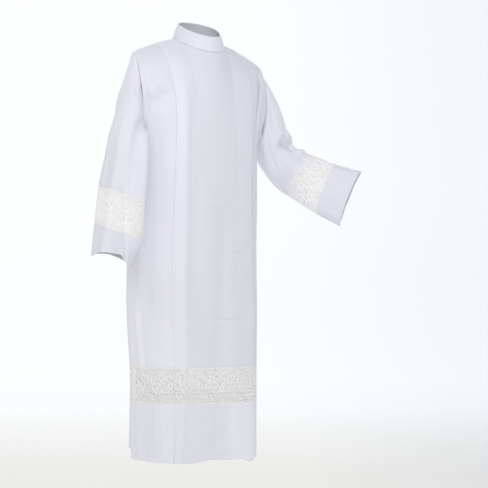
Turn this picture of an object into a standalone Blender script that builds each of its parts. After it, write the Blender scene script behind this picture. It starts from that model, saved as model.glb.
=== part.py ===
"""An alb as it hangs on its wearer: stand collar, two front box pleats, wide sleeves and lace bands.

Metres, +Z up. The origin is the middle of the neck opening at shoulder height.
The front faces -Y and the wearer's left is +X. Every piece is a thin wall of cloth: its
outer points come from the named sizes and the short tables of sections below, and its
inner points lie one cloth thickness further in. Pieces lie a seam's width apart.
"""

import math
from collections import namedtuple

import bmesh
import bpy
import numpy as np
from mathutils.geometry import delaunay_2d_cdt

# Cloth and seams
CLOTH = 0.0012
LACE_CLOTH = 0.0010
HEM_CLOTH = 0.0018
COLLAR_CLOTH = 0.0020
SEAM = 0.0003

# Heights on the body, from the shoulder seam at the neck
CHEST_LINE = -0.335
MID_THIGH = -0.72
BAND_TOP = -1.037
BAND_BOTTOM = -1.151
HEM = -1.335

# Neck and shoulders
NECK_HALF_WIDTH = 0.082
NECK_FRONT = 0.088
NECK_FRONT_DROP = 0.050
NECK_BACK = 0.072
NECK_BACK_RISE = 0.018
SHOULDER_HALF_WIDTH = 0.228
SHOULDER_DROP = 0.056
UNDERARM = (0.206, 0.008, -0.300)

# Stand collar: its top edge, and the opening at the wearer's left of the front
COLLAR_HALF_WIDTH = 0.066
COLLAR_FRONT = 0.082
COLLAR_BACK = 0.048
COLLAR_SIDE_RISE = 0.043
COLLAR_FRONT_DROP = 0.045
COLLAR_BACK_RISE = 0.024
NECK_STEP = 18.0
COLLAR_OPENING = 36.0
COLLAR_GAP_BELOW = 1.2
COLLAR_GAP_ABOVE = 4.0

# Angles round the body, from the middle of the front, where one seam meets the next
NECK_ANGLE = 22.0
SHOULDER_ANGLE = 64.0
SHOULDER_ANGLE_BELOW = 57.5
SIDE_ANGLE = 90.0

# Box pleats: a flat fold of cloth that overhangs its own base on both edges
PLEAT_AT_TOP = (24.0, 44.0)
PLEAT_AT_CHEST = (26.0, 43.0)
PLEAT_AT_HEM = (21.0, 38.0)
PLEAT_HEIGHT = 0.0044
PLEAT_OVERHANG = 0.0032

# Lace: the length of one repeat
LACE_REPEAT = 0.092

# The body's sections, turned about the upright; the cloth follows only part of that turn.
CLOTH_STAYS = 0.75
BodyRow = namedtuple("BodyRow", "z half_width front back centre_x centre_y turn square")
BODY = [
    BodyRow(CHEST_LINE, 0.201, 0.124, 0.128, 0.000, 0.000, 3.0, 2.35),
    BodyRow(-0.50, 0.205, 0.124, 0.134, -0.005, 0.005, 6.0, 2.3),
    BodyRow(-0.75, 0.211, 0.126, 0.144, -0.010, 0.018, 14.0, 2.3),
    BodyRow(BAND_TOP, 0.205, 0.122, 0.156, 0.012, 0.042, 24.0, 2.35),
    BodyRow(HEM, 0.202, 0.124, 0.168, 0.014, 0.040, 28.0, 2.4),
]

# Vertical folds of the skirt: where they run, how wide they are, and how far they stand
# out (or in, below zero) at the chest line, halfway down and at the hem.
Fold = namedtuple("Fold", "angle width chest thigh hem")
FOLDS = [
    Fold(-100.0, 11.0, 0.000, -0.030, -0.044),
    Fold(-80.0, 10.0, 0.000, 0.008, 0.010),
    Fold(-52.0, 8.0, 0.000, -0.004, -0.006),
    Fold(16.0, 11.0, 0.000, -0.006, -0.014),
    Fold(54.0, 8.0, 0.000, 0.004, 0.006),
    Fold(72.0, 8.0, 0.000, -0.004, -0.008),
    Fold(99.0, 11.0, 0.000, -0.024, -0.038),
    Fold(126.0, 12.0, 0.002, 0.014, 0.022),
    Fold(152.0, 11.0, 0.000, -0.010, -0.016),
    Fold(178.0, 13.0, 0.002, 0.010, 0.014),
    Fold(-154.0, 11.0, 0.000, -0.010, -0.016),
    Fold(-126.0, 12.0, 0.002, 0.019, 0.060),
]

# Sleeve rings: the middle of the ring, the way to its outer edge and to its front, and how
# far the cloth lies from the middle towards the outer edge, the underside, front and back.
Ring = namedtuple("Ring", "at middle outward forward outer under front back")
RIGHT_SLEEVE = [
    Ring(0.1, (-0.25, -0.014, -0.247), (-0.52, 0.04, 0.85), (-0.15, -0.98, 0.0),
         0.058, 0.07, 0.08, 0.072),
    Ring(0.2, (-0.268, -0.045, -0.32), (-0.82, 0.47, 0.32), (-0.4, -0.92, 0.0),
         0.057, 0.062, 0.074, 0.07),
    Ring(0.33, (-0.287, -0.055, -0.418), (-0.84, 0.48, 0.26), (-0.5, -0.87, 0.05),
         0.064, 0.07, 0.074, 0.072),
    Ring(0.44, (-0.304, -0.065, -0.502), (-0.82, 0.47, 0.31), (-0.5, -0.87, 0.05),
         0.07, 0.074, 0.074, 0.072),
    Ring(0.56, (-0.319, -0.075, -0.611), (-0.81, 0.47, 0.35), (-0.5, -0.87, 0.0),
         0.073, 0.077, 0.074, 0.072),
    Ring(0.65, (-0.35, -0.085, -0.701), (-0.83, 0.48, 0.27), (-0.5, -0.87, -0.05),
         0.056, 0.06, 0.072, 0.07),
]
RIGHT_LACE = (0.44, 0.56)
LEFT_SLEEVE = [
    Ring(0.12, (0.275, 0.014, -0.28), (0.27, -0.16, 0.95), (-0.25, -0.97, 0.0),
         0.106, 0.098, 0.062, 0.06),
    Ring(0.22, (0.325, 0.003, -0.37), (0.355, -0.2, 0.92), (-0.5, -0.87, 0.0),
         0.08, 0.08, 0.05, 0.052),
    Ring(0.27, (0.344, -0.025, -0.404), (0.387, -0.22, 0.9), (-0.7, -0.72, 0.0),
         0.077, 0.077, 0.044, 0.046),
    Ring(0.33, (0.359, -0.063, -0.422), (0.476, -0.275, 0.84), (-0.82, -0.57, 0.0),
         0.078, 0.08, 0.038, 0.04),
    Ring(0.43, (0.413, -0.134, -0.471), (0.306, -0.177, 0.94), (-0.85, -0.53, 0.0),
         0.088, 0.088, 0.036, 0.038),
    Ring(0.52, (0.456, -0.205, -0.505), (0.315, -0.182, 0.93), (-0.85, -0.53, 0.0),
         0.096, 0.094, 0.036, 0.038),
]
LEFT_LACE = (0.33, 0.43)

# Folds of the sleeves: how far round the ring from its outer edge, how wide, how high the
# cloth stands, and where along the sleeve the fold is deepest and how long it is.
SleeveFold = namedtuple("SleeveFold", "angle width height middle length")
RIGHT_FOLDS = [
    SleeveFold(76.0, 16.0, 0.012, 0.60, 0.22),
    SleeveFold(112.0, 16.0, -0.006, 0.56, 0.16),
    SleeveFold(48.0, 14.0, -0.006, 0.38, 0.14),
    SleeveFold(120.0, 14.0, -0.007, 0.14, 0.12),
    SleeveFold(96.0, 12.0, 0.005, 0.12, 0.10),
    SleeveFold(235.0, 20.0, -0.008, 0.40, 0.20),
]
LEFT_FOLDS = [
    SleeveFold(45.0, 20.0, -0.009, 0.23, 0.050),
    SleeveFold(10.0, 22.0, -0.005, 0.25, 0.045),
    SleeveFold(80.0, 18.0, 0.006, 0.28, 0.060),
    SleeveFold(130.0, 20.0, 0.005, 0.40, 0.12),
    SleeveFold(300.0, 20.0, -0.006, 0.26, 0.08),
]

SLEEVE_COLUMNS = 28
YOKE_ROWS = 7
SKIRT_ROWS = 6
HEM_ROWS = 2
SLEEVE_ROWS = 9
CUFF_ROWS = 2
COLLAR_ROWS = 3


def smooth(t):
    """Ease from 0 to 1."""
    t = min(1.0, max(0.0, t))
    return t * t * (3.0 - 2.0 * t)


def unit(v):
    v = np.asarray(v, float)
    return v / max(np.linalg.norm(v), 1e-12)


def between(places, table, at):
    """A smooth curve through the rows of a table, whose places rise, read at one place."""
    k = int(np.clip(np.searchsorted(places, at, side="right") - 1, 0, len(places) - 2))
    span = places[k + 1] - places[k]
    t = (at - places[k]) / span

    def slope(i):
        low, high = max(i - 1, 0), min(i + 1, len(places) - 1)
        return (table[high] - table[low]) / (places[high] - places[low]) * span

    return (
        (2 * t**3 - 3 * t**2 + 1) * table[k]
        + (t**3 - 2 * t**2 + t) * slope(k)
        + (3 * t**2 - 2 * t**3) * table[k + 1]
        + (t**3 - t**2) * slope(k + 1)
    )


def rounded(angle, square):
    """The two parts of a rounded section at an angle: along its first axis and along its second."""
    c, s = math.cos(math.radians(angle)), math.sin(math.radians(angle))
    power = 2.0 / square
    return math.copysign(abs(c) ** power, c), math.copysign(abs(s) ** power, s)


BODY_PLACES = np.array([-row.z for row in BODY])
BODY_TABLE = np.array([list(row) for row in BODY])


def fold_depth(angle, z):
    """How far the folds move the body's cloth out at an angle and height."""
    total = 0.0
    for fold in FOLDS:
        away = (angle - fold.angle + 180.0) % 360.0 - 180.0
        if z > MID_THIGH:
            down = smooth((CHEST_LINE - z) / (CHEST_LINE - MID_THIGH))
            height = fold.chest + (fold.thigh - fold.chest) * down
        else:
            down = (MID_THIGH - z) / (MID_THIGH - HEM)
            height = fold.thigh + (fold.hem - fold.thigh) * down
        total += height * math.exp(-((away / fold.width) ** 2))
    return total


def body_point(z, angle):
    """The body's cloth below the chest line."""
    row = BodyRow(*between(BODY_PLACES, BODY_TABLE, -z))
    angle = angle + row.turn * CLOTH_STAYS
    fore, side = rounded(angle, row.square)
    flat = np.array([row.half_width * side, -(row.front if fore > 0 else row.back) * fore])
    flat = flat + unit(flat) * fold_depth(angle, z)
    turn = math.radians(-row.turn)
    x = flat[0] * math.cos(turn) - flat[1] * math.sin(turn) + row.centre_x
    y = flat[0] * math.sin(turn) + flat[1] * math.cos(turn) + row.centre_y
    return np.array([x, y, z])


def neck_point(angle):
    """The neck seam at an angle from the middle of the front, the wearer's left above zero."""
    c, s = math.cos(math.radians(angle)), math.sin(math.radians(angle))
    depth = -NECK_FRONT if c > 0 else -NECK_BACK
    rise = -NECK_FRONT_DROP if c > 0 else -NECK_BACK_RISE
    return np.array([NECK_HALF_WIDTH * s, depth * c, rise * c])


def neck_edge(angle):
    """The neck seam as its short straight steps, which the panels and the collar share."""
    low = math.floor(angle / NECK_STEP) * NECK_STEP
    share = (angle - low) / NECK_STEP
    return neck_point(low) * (1 - share) + neck_point(low + NECK_STEP) * share


def shoulder_point(share):
    """The shoulder seam of the wearer's left, from the neck (0) to the sleeve (1)."""
    x = NECK_HALF_WIDTH + (SHOULDER_HALF_WIDTH - NECK_HALF_WIDTH) * share
    return np.array([x, 0.006 * share, -SHOULDER_DROP * (0.8 * share + 0.2 * share**3)])


def armhole_point(share, back):
    """The armhole seam of the wearer's left, from the shoulder (0) to the underarm (1)."""
    side = 1.0 if back else -1.0
    start = shoulder_point(1.0)
    first = np.array([SHOULDER_HALF_WIDTH + 0.004, side * 0.058, -0.105])
    second = np.array([SHOULDER_HALF_WIDTH - 0.004, side * 0.086, -0.285])
    end = np.array(UNDERARM)
    t = share
    return (1 - t) ** 3 * start + 3 * t * (1 - t) ** 2 * first + 3 * t * t * (1 - t) * second + t**3 * end


def top_point(angle, back):
    """Where a column of the body's cloth starts and the way it leaves, by its angle at the top."""
    size, mirror = abs(angle), np.array([math.copysign(1.0, angle), 1.0, 1.0])
    way, aside = (1.0 if back else -1.0), 0.0
    if size < NECK_ANGLE:
        share = size / NECK_ANGLE
        start = neck_point(180.0 - 90.0 * share if back else 90.0 * share)
        lean = 0.35 + 0.48 * share**2
    elif size < SHOULDER_ANGLE:
        share = (size - NECK_ANGLE) / (SHOULDER_ANGLE - NECK_ANGLE)
        start = shoulder_point(share)
        lean = 0.83 + 0.05 * share
    else:
        share = (size - SHOULDER_ANGLE) / (SIDE_ANGLE - SHOULDER_ANGLE)
        start = armhole_point(share, back)
        lean = 0.88 * (1 - share) ** 2.2
        aside = -0.10 * share
    leave = np.array([aside, way * lean, -math.sqrt(1 - lean**2)])
    return start * mirror, leave * mirror


def yoke_point(top_angle, chest_angle, back, share):
    """The body's cloth between the shoulders (0) and the chest line (1)."""
    start, leave = top_point(top_angle, back)
    end = body_point(CHEST_LINE, chest_angle)
    arrive = unit(body_point(CHEST_LINE - 0.02, chest_angle) - end)
    length = np.linalg.norm(end - start)
    t = share
    return (
        (2 * t**3 - 3 * t**2 + 1) * start
        + (t**3 - 2 * t**2 + t) * leave * length * 1.05
        + (3 * t**2 - 2 * t**3) * end
        + (t**3 - t**2) * arrive * length * 1.25
    )


# A column of the body's cloth: its angle at the top, the chest and the hem, and how far its
# outer and inner points are moved out and along to make a pleat, as shares of its sizes.
Column = namedtuple("Column", "top chest hem lift slide inner_lift inner_slide")


def plain_columns(first, last, count):
    """Columns of flat cloth between two angles, without the first one."""
    angles = np.linspace(first, last, count + 1)[1:]
    return [flat_column(a, lower_angle(a), lower_angle(a)) for a in angles]


def lower_angle(top):
    """The angle at the chest of a plain column, for its angle at the top."""
    if top <= SHOULDER_ANGLE:
        return top * SHOULDER_ANGLE_BELOW / SHOULDER_ANGLE
    share = (SIDE_ANGLE - top) / (SIDE_ANGLE - SHOULDER_ANGLE)
    return SIDE_ANGLE - (SIDE_ANGLE - SHOULDER_ANGLE_BELOW) * share


def flat_column(top, chest, hem):
    return Column(top, chest, hem, 0.0, 0.0, 0.0, 0.0)


def pleat_columns(thick):
    """A box pleat: its inner edge, its flat face and its outer edge."""
    high = PLEAT_HEIGHT
    steps = [
        (0.0, 0.0, 0.0, thick),
        (0.35 * high, 0.0, 0.3 * high + thick, thick),
        (0.72 * high, -PLEAT_OVERHANG, 0.65 * high + 0.5 * thick, 0.75 * thick),
        (high, -0.6 * PLEAT_OVERHANG, high, 0.5 * thick),
    ]
    made = []
    for share in (0.0, 0.25, 0.5, 0.75, 1.0):
        top = PLEAT_AT_TOP[0] + (PLEAT_AT_TOP[1] - PLEAT_AT_TOP[0]) * share
        chest = PLEAT_AT_CHEST[0] + (PLEAT_AT_CHEST[1] - PLEAT_AT_CHEST[0]) * share
        hem = PLEAT_AT_HEM[0] + (PLEAT_AT_HEM[1] - PLEAT_AT_HEM[0]) * share
        if share == 0.0:
            made += [Column(top, chest, hem, *step) for step in steps]
        elif share == 1.0:
            for up, out, inner, along in steps[::-1]:
                made.append(Column(top, chest, hem, up, -out, inner, -along))
        else:
            made.append(Column(top, chest, hem, high, 0.0, high, 0.0))
    return made


def body_columns(back, thick):
    """The columns of the body's front or back, from the wearer's right side to the left."""
    half = [flat_column(0.0, 0.0, 0.0)]
    steps = round(90.0 / NECK_STEP)
    if back:
        half += plain_columns(0.0, NECK_ANGLE, steps) + plain_columns(NECK_ANGLE, SHOULDER_ANGLE, 5)
    else:
        half += [flat_column(a, a * 0.9, a * 0.72) for a in np.linspace(0.0, NECK_ANGLE, steps + 1)[1:]]
        half += pleat_columns(thick)
        half += [flat_column(50.0, 47.8, 44.0), flat_column(57.0, 52.7, 50.5)]
        half += [flat_column(SHOULDER_ANGLE, SHOULDER_ANGLE_BELOW, SHOULDER_ANGLE_BELOW)]
    half += plain_columns(SHOULDER_ANGLE, SIDE_ANGLE, SLEEVE_COLUMNS // 2)
    mirrored = [
        Column(-c.top, -c.chest, -c.hem, c.lift, -c.slide, c.inner_lift, -c.inner_slide)
        for c in half[:0:-1]
    ]
    return mirrored + half


def body_grid(back, rows, columns):
    """Outer points of the body's front or back, without pleats."""
    points = []
    for share, z in rows:
        line = []
        for column in columns:
            height = CHEST_LINE if z is None else z
            down = smooth((CHEST_LINE - height) / (CHEST_LINE - BAND_TOP))
            angle = column.chest + (column.hem - column.chest) * down
            if back:
                angle = math.copysign(180.0, angle) - angle if angle else 180.0
            if z is None:
                line.append(yoke_point(column.top, angle, back, share))
            else:
                line.append(body_point(z, angle))
        points.append(line)
    return np.array(points)


def grid_normals(points, closed=False):
    """Unit normals of a grid of points, outwards from the middle of each row."""
    down = np.gradient(points, axis=0)
    if closed:
        across = (np.roll(points, -1, axis=1) - np.roll(points, 1, axis=1)) / 2
    else:
        across = np.gradient(points, axis=1)
    normal = np.cross(across, down)
    normal /= np.maximum(np.linalg.norm(normal, axis=2, keepdims=True), 1e-12)
    outwards = ((points - points.mean(axis=1, keepdims=True)) * normal).sum()
    return normal if outwards > 0 else -normal


def body_panels(rows, thick):
    """Outer points, inner points and normals of front and back; normals agree at the side seams."""
    front_columns, back_columns = body_columns(False, thick), body_columns(True, thick)
    front = body_grid(False, rows, front_columns)
    back = body_grid(True, rows, back_columns)
    single = [0] + [
        k for k in range(1, len(front_columns)) if front_columns[k].top != front_columns[k - 1].top
    ]
    ring = np.concatenate([front[:, single], back[:, -2:0:-1]], axis=1)
    normals = grid_normals(ring, closed=True)
    spread = np.searchsorted(single, range(len(front_columns)), side="right") - 1
    front_n = normals[:, spread]
    count = len(single)
    back_n = np.concatenate([normals[:, :1], normals[:, :count - 2:-1]], axis=1)
    across = np.gradient(front[:, single], axis=1)[:, spread]
    across /= np.maximum(np.linalg.norm(across, axis=2, keepdims=True), 1e-12)
    return front, front_n, across, back, back_n, front_columns


def pleated(points, normals, across, columns, rows, thick):
    """Outer and inner points of the front with its box pleats, which lie flat at the shoulder."""
    rise = np.array([1.0 if z is not None else 0.6 + 0.4 * smooth(share * 4) for share, z in rows])
    table = np.array([c[3:] for c in columns])
    lift, slide, inner_lift, inner_slide = (table[None, :, k, None] for k in range(4))
    rise = rise[:, None, None]
    outer = points + normals * lift * rise + across * slide * rise
    inner = points + normals * (inner_lift * rise - thick) + across * inner_slide
    return outer, inner


def unit_rows(steps):
    return steps / np.maximum(np.linalg.norm(steps, axis=-1, keepdims=True), 1e-9)


def side_seams(outer, inner):
    """Takes half a seam off the first and last columns of a wall."""
    for edge, near in ((0, 1), (-1, -2)):
        step = outer[:, near] - outer[:, edge]
        step = step / np.maximum(np.linalg.norm(step, axis=1, keepdims=True), 1e-9) * SEAM / 2
        outer[:, edge] += step
        inner[:, edge] += step


def add_wall(mesh, outer, inner, closed):
    """Triangles of a wall between two grids of points, split the same way on both skins."""
    rows, count = outer.shape[:2]
    out, into = [[[mesh.verts.new(p) for p in row] for row in skin] for skin in (outer, inner)]
    last = count if closed else count - 1
    for i in range(rows - 1):
        for k in range(last):
            n = (k + 1) % count
            corners = [(i, k), (i + 1, k), (i + 1, n), (i, n)]
            falling = np.linalg.norm(outer[i, k] - outer[i + 1, n])
            rising = np.linalg.norm(outer[i + 1, k] - outer[i, n])
            first = 0 if falling < rising else 1
            a, b, c, d = corners[first:] + corners[:first]
            for triangle in ((a, b, c), (a, c, d)):
                mesh.faces.new([out[r][q] for r, q in triangle])
                mesh.faces.new([into[r][q] for r, q in triangle[::-1]])
    for k in range(last):
        n = (k + 1) % count
        mesh.faces.new((out[0][n], into[0][n], into[0][k], out[0][k]))
        mesh.faces.new((out[-1][k], into[-1][k], into[-1][n], out[-1][n]))
    if not closed:
        for i in range(rows - 1):
            mesh.faces.new((out[i][0], into[i][0], into[i + 1][0], out[i + 1][0]))
            mesh.faces.new((out[i + 1][-1], into[i + 1][-1], into[i][-1], out[i][-1]))


def finish(name, mesh, material):
    """A named object from a closed bmesh, with its faces pointing out."""
    if mesh.calc_volume(signed=True) < 0:
        bmesh.ops.reverse_faces(mesh, faces=mesh.faces)
    data = bpy.data.meshes.new(name)
    mesh.to_mesh(data)
    mesh.free()
    data.materials.append(material)
    obj = bpy.data.objects.new(name, data)
    robe.objects.link(obj)
    for polygon in data.polygons:
        polygon.use_smooth = True
    data.set_sharp_from_angle(angle=math.radians(50))


def wall(name, outer, inner, material, closed=False):
    """One closed wall of cloth between an outer and an inner grid of points."""
    mesh = bmesh.new()
    add_wall(mesh, outer, inner, closed)
    finish(name, mesh, material)


def ring_axis(ring):
    """The way a sleeve's ring faces, square to its plane."""
    quarter = len(ring) // 4
    return unit(np.cross(ring[2 * quarter] - ring[0], ring[3 * quarter] - ring[quarter]))


def flattened(normals, axis):
    """Normals turned into the plane of a seam, so that two cloths meet there squarely."""
    return unit_rows(normals - (normals @ axis)[..., None] * axis)


def shared(first, second, second_way):
    """Seam normals for two cloths: mitred where the second falls away, their own where it rises."""
    own = first.copy(), second.copy()
    falls = (second_way * first).sum(axis=-1, keepdims=True) < 0
    falls = falls & ((first * second).sum(axis=-1, keepdims=True) > 0.3)
    mean = first + second
    mean /= np.maximum(np.linalg.norm(mean, axis=-1, keepdims=True), 1e-9)
    return np.where(falls, mean, own[0]), np.where(falls, mean, own[1])


def armhole_ring(left):
    """The armhole seam as a ring: from the shoulder down the front and up the back."""
    half = SLEEVE_COLUMNS // 2
    front = [armhole_point(k / half, False) for k in range(half + 1)]
    back = [armhole_point(k / half, True) for k in range(half - 1, 0, -1)]
    return np.array(front + back) * np.array([1.0 if left else -1.0, 1.0, 1.0])


def sleeve_ring(row):
    """One ring of a sleeve, from its outer edge by the front and the underside."""
    outward = unit(row.outward)
    forward = unit(np.array(row.forward) - outward * np.dot(row.forward, outward))
    ring = []
    for k in range(SLEEVE_COLUMNS):
        along, across = rounded(360.0 * k / SLEEVE_COLUMNS, 2.15)
        out = along * (row.outer if along > 0 else row.under)
        fore = across * (row.front if across > 0 else row.back)
        ring.append(np.array(row.middle) + outward * out + forward * fore)
    return np.array(ring)


class Sleeve:
    """A sleeve's cloth: a surface through the armhole and the rings, with its folds."""

    def __init__(self, left):
        self.left = left
        rows = LEFT_SLEEVE if left else RIGHT_SLEEVE
        self.folds = LEFT_FOLDS if left else RIGHT_FOLDS
        self.lace = LEFT_LACE if left else RIGHT_LACE
        self.places = np.array([0.0] + [row.at for row in rows])
        self.table = np.array([armhole_ring(left)] + [sleeve_ring(row) for row in rows])
        self.end = rows[-1].at

    def ring(self, at):
        """The ring of outer points at a place along the sleeve."""
        ring = between(self.places, self.table, at)
        middle = ring.mean(axis=0)
        for k in range(SLEEVE_COLUMNS):
            depth = 0.0
            for fold in self.folds:
                away = (360.0 * k / SLEEVE_COLUMNS - fold.angle + 180.0) % 360.0 - 180.0
                depth += (
                    fold.height
                    * math.exp(-((away / fold.width) ** 2))
                    * math.exp(-(((at - fold.middle) / fold.length) ** 2))
                )
            ring[k] += unit(ring[k] - middle) * depth * smooth(at / 0.05)
        return ring

    def point(self, at, turn):
        """A point part of the way (0 to 1) round the ring."""
        ring = self.ring(at)
        place = turn * SLEEVE_COLUMNS
        k = int(math.floor(place))
        share = place - k
        return ring[k % SLEEVE_COLUMNS] * (1 - share) + ring[(k + 1) % SLEEVE_COLUMNS] * share

    def grid(self, places):
        return np.array([self.ring(at) for at in places])

    def seam(self, panel_normals):
        """Normals at the armhole, for the panels and for this sleeve."""
        points = self.grid(np.linspace(0.0, self.lace[0], SLEEVE_ROWS + 1))
        return shared(panel_normals, grid_normals(points, closed=True)[0], points[1] - points[0])


def petal(middle_u, middle_v, turn, length, width):
    """A gap shaped like a leaf, as six corners in the flat lace."""
    corners = []
    leaf = ((-0.5, 0.0), (-0.18, 0.5), (0.22, 0.42), (0.5, 0.0), (0.22, -0.42), (-0.18, -0.5))
    for along, across in leaf:
        u, v = along * length, across * width
        c, s = math.cos(math.radians(turn)), math.sin(math.radians(turn))
        corners.append((middle_u + u * c - v * s, middle_v + u * s + v * c))
    return corners


def lace_gaps(width, height, count):
    """The gaps of a flat lace: a five-petalled flower and three scroll leaves in each repeat."""
    step = width / count
    gaps = []
    for k in range(count):
        middle = (k + 0.5) * step
        for turn in range(5):
            angle = 90.0 + 72.0 * turn
            c, s = math.cos(math.radians(angle)), math.sin(math.radians(angle))
            u, v = middle + 0.175 * height * c, (0.5 + 0.175 * s) * height
            gaps.append(petal(u, v, angle, 0.21 * height, 0.125 * height))
        gaps.append(petal(middle - 0.36 * step, 0.28 * height, 62.0, 0.23 * height, 0.10 * height))
        gaps.append(petal(middle - 0.36 * step, 0.74 * height, -58.0, 0.23 * height, 0.10 * height))
        gaps.append(petal(middle + 0.37 * step, 0.50 * height, 90.0, 0.20 * height, 0.09 * height))
    return gaps


def lace_sheet(width, height, count):
    """Flat points and triangles of a lace band with its gaps left open."""
    gaps = lace_gaps(width, height, count)
    points, edges = [], []

    def ring(corners):
        first = len(points)
        points.extend(corners)
        edges.extend((first + k, first + (k + 1) % len(corners)) for k in range(len(corners)))

    steps = count * 4
    border = [(width * k / steps, 0.0) for k in range(steps)]
    border += [(width, 0.0), (width, height / 2)]
    border += [(width * k / steps, height) for k in range(steps, -1, -1)]
    border += [(0.0, height / 2)]
    ring(border)
    for gap in gaps:
        ring(gap)
    flat, _, faces, _, _, _ = delaunay_2d_cdt(points, edges, [], 0, 1e-7)
    flat = [(p[0], p[1]) for p in flat]
    kept = []
    for face in faces:
        u = sum(flat[k][0] for k in face) / 3
        v = sum(flat[k][1] for k in face) / 3
        if not any(inside(gap, u, v) for gap in gaps):
            kept.append(tuple(face))
    return flat, kept


def inside(corners, u, v):
    """Whether a flat point lies within a gap."""
    hit = False
    for k in range(len(corners)):
        (u0, v0), (u1, v1) = corners[k - 1], corners[k]
        if (v0 > v) != (v1 > v) and u < (u1 - u0) * (v - v0) / (v1 - v0) + u0:
            hit = not hit
    return hit


def lace_wall(name, surface, axis, middle, width, height, material):
    """A lace band laid on a surface that is read by how far along and how far down it is."""
    flat, faces = lace_sheet(width, height, round(width / LACE_REPEAT))
    mesh = bmesh.new()
    small = 0.002
    points, normals = [], []
    for u, v in flat:
        along = surface(u + small, v) - surface(u - small, v)
        down = surface(u, v + small) - surface(u, v - small)
        points.append(surface(u, v))
        normals.append(flattened(np.cross(along, down), axis(v)))
    points, normals = np.array(points), np.array(normals)
    if ((points - middle) * normals).sum() < 0:
        normals = -normals
    outer = [mesh.verts.new(p) for p in points]
    inner = [mesh.verts.new(p) for p in points - normals * LACE_CLOTH]
    rims = {}
    for face in faces:
        mesh.faces.new([outer[k] for k in face])
        mesh.faces.new([inner[k] for k in face[::-1]])
        for k in range(3):
            a, b = face[k], face[(k + 1) % 3]
            if (b, a) in rims:
                del rims[(b, a)]
            else:
                rims[(a, b)] = True
    for a, b in rims:
        mesh.faces.new((outer[b], outer[a], inner[a], inner[b]))
    finish(name, mesh, material)


def body_lace(name, back):
    """One side of the lace band round the skirt."""
    middle = (BAND_TOP + BAND_BOTTOM) / 2
    angles = np.linspace(-90.0, 90.0, 361)
    if back:
        angles = angles + 180.0
    line = np.array([body_point(middle, a) for a in angles])
    lengths = np.concatenate([[0.0], np.cumsum(np.linalg.norm(np.diff(line, axis=0), axis=1))])
    width = lengths[-1] - SEAM
    height = BAND_TOP - BAND_BOTTOM - SEAM

    def surface(u, v):
        angle = float(np.interp(u + SEAM / 2, lengths, angles))
        return body_point(BAND_TOP - SEAM / 2 - v, angle)

    centre = np.array([body_point(middle, a) for a in (0.0, 90.0, 180.0, 270.0)]).mean(axis=0)
    up = np.array([0.0, 0.0, 1.0])
    lace_wall(name, surface, lambda v: up, centre, width, height, lace)


def sleeve_lace(name, sleeve, first, last):
    """One side of the lace band round a sleeve, between two places round the ring."""
    start, end = sleeve.lace
    turns = np.linspace(first, last, 97)
    line = np.array([sleeve.point((start + end) / 2, t) for t in turns])
    lengths = np.concatenate([[0.0], np.cumsum(np.linalg.norm(np.diff(line, axis=0), axis=1))])
    width = lengths[-1] - SEAM
    height = float(np.linalg.norm(sleeve.ring(end).mean(axis=0) - sleeve.ring(start).mean(axis=0)))
    gap = SEAM / 2 / height * (end - start)

    def surface(u, v):
        turn = float(np.interp(u + SEAM / 2, lengths, turns))
        share = v / height
        return sleeve.point(start + gap + (end - start - 2 * gap) * share, turn)

    def axis(v):
        return ring_axis(sleeve.ring(start + (end - start) * v / height))

    lace_wall(name, surface, axis, sleeve.ring((start + end) / 2).mean(axis=0), width, height, lace)


def main_panels(sleeves):
    """Front with its box pleats, and back, from the shoulders to the lace band."""
    yoke = [(k / YOKE_ROWS, None) for k in range(YOKE_ROWS + 1)]
    below = np.linspace(CHEST_LINE, BAND_TOP + SEAM / 2, SKIRT_ROWS + 1)[1:]
    rows = yoke + [(1.0, z) for z in below]
    front, front_n, across, back, back_n, columns = body_panels(rows, CLOTH)
    half = SLEEVE_COLUMNS // 2
    slope = np.array([SHOULDER_DROP, 0.0, SHOULDER_HALF_WIDTH - NECK_HALF_WIDTH])
    for grid, normals in ((front, front_n), (back, back_n)):
        for k in range(half + 1, grid.shape[1] - 1 - half):
            x = grid[0, k, 0]
            if abs(x) > NECK_HALF_WIDTH * 0.98:
                normals[0, k] = unit(slope * np.array([math.copysign(1.0, x), 1.0, 1.0]))
    for left, sleeve in zip((True, False), sleeves):
        side = slice(-half - 1, None) if left else slice(half, None, -1)
        front_side = unit_rows(front_n[0, side] + front_n[1, side])
        back_side = unit_rows(back_n[0, side] + back_n[1, side])
        ring_n = np.concatenate([front_side, back_side[-2:0:-1]])
        ring_n, sleeve.first_normals = sleeve.seam(ring_n)
        front_n[0, side] = ring_n[: half + 1]
        back_n[0, side] = np.concatenate([ring_n[:1], ring_n[:half - 1:-1]])
    up = np.array([0.0, 0.0, 1.0])
    front_n[-1], back_n[-1] = flattened(front_n[-1], up), flattened(back_n[-1], up)
    front, front_inner = pleated(front, front_n, across, columns, rows, CLOTH)
    back_inner = back - back_n * CLOTH
    for name, outer, inner in (("front", front, front_inner), ("back", back, back_inner)):
        side_seams(outer, inner)
        step = unit_rows(outer[1] - outer[0]) * SEAM / 2
        outer[0] += step
        inner[0] += step
        wall(name, outer, inner, cloth)


def sleeve_cloth(name, sleeve):
    """The sleeve from the armhole to its lace, as one tube."""
    places = list(np.linspace(0.0, sleeve.lace[0] - SEAM / 2, SLEEVE_ROWS + 1))
    points = sleeve.grid(places + [sleeve.lace[0] + 0.02])
    normals = grid_normals(points, closed=True)[:-1]
    points = points[:-1]
    normals[-1] = flattened(normals[-1], ring_axis(points[-1]))
    normals[0] = sleeve.first_normals
    points[0] += unit_rows(points[1] - points[0]) * SEAM * 1.5
    wall(name, points, points - normals * CLOTH, cloth, closed=True)


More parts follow.
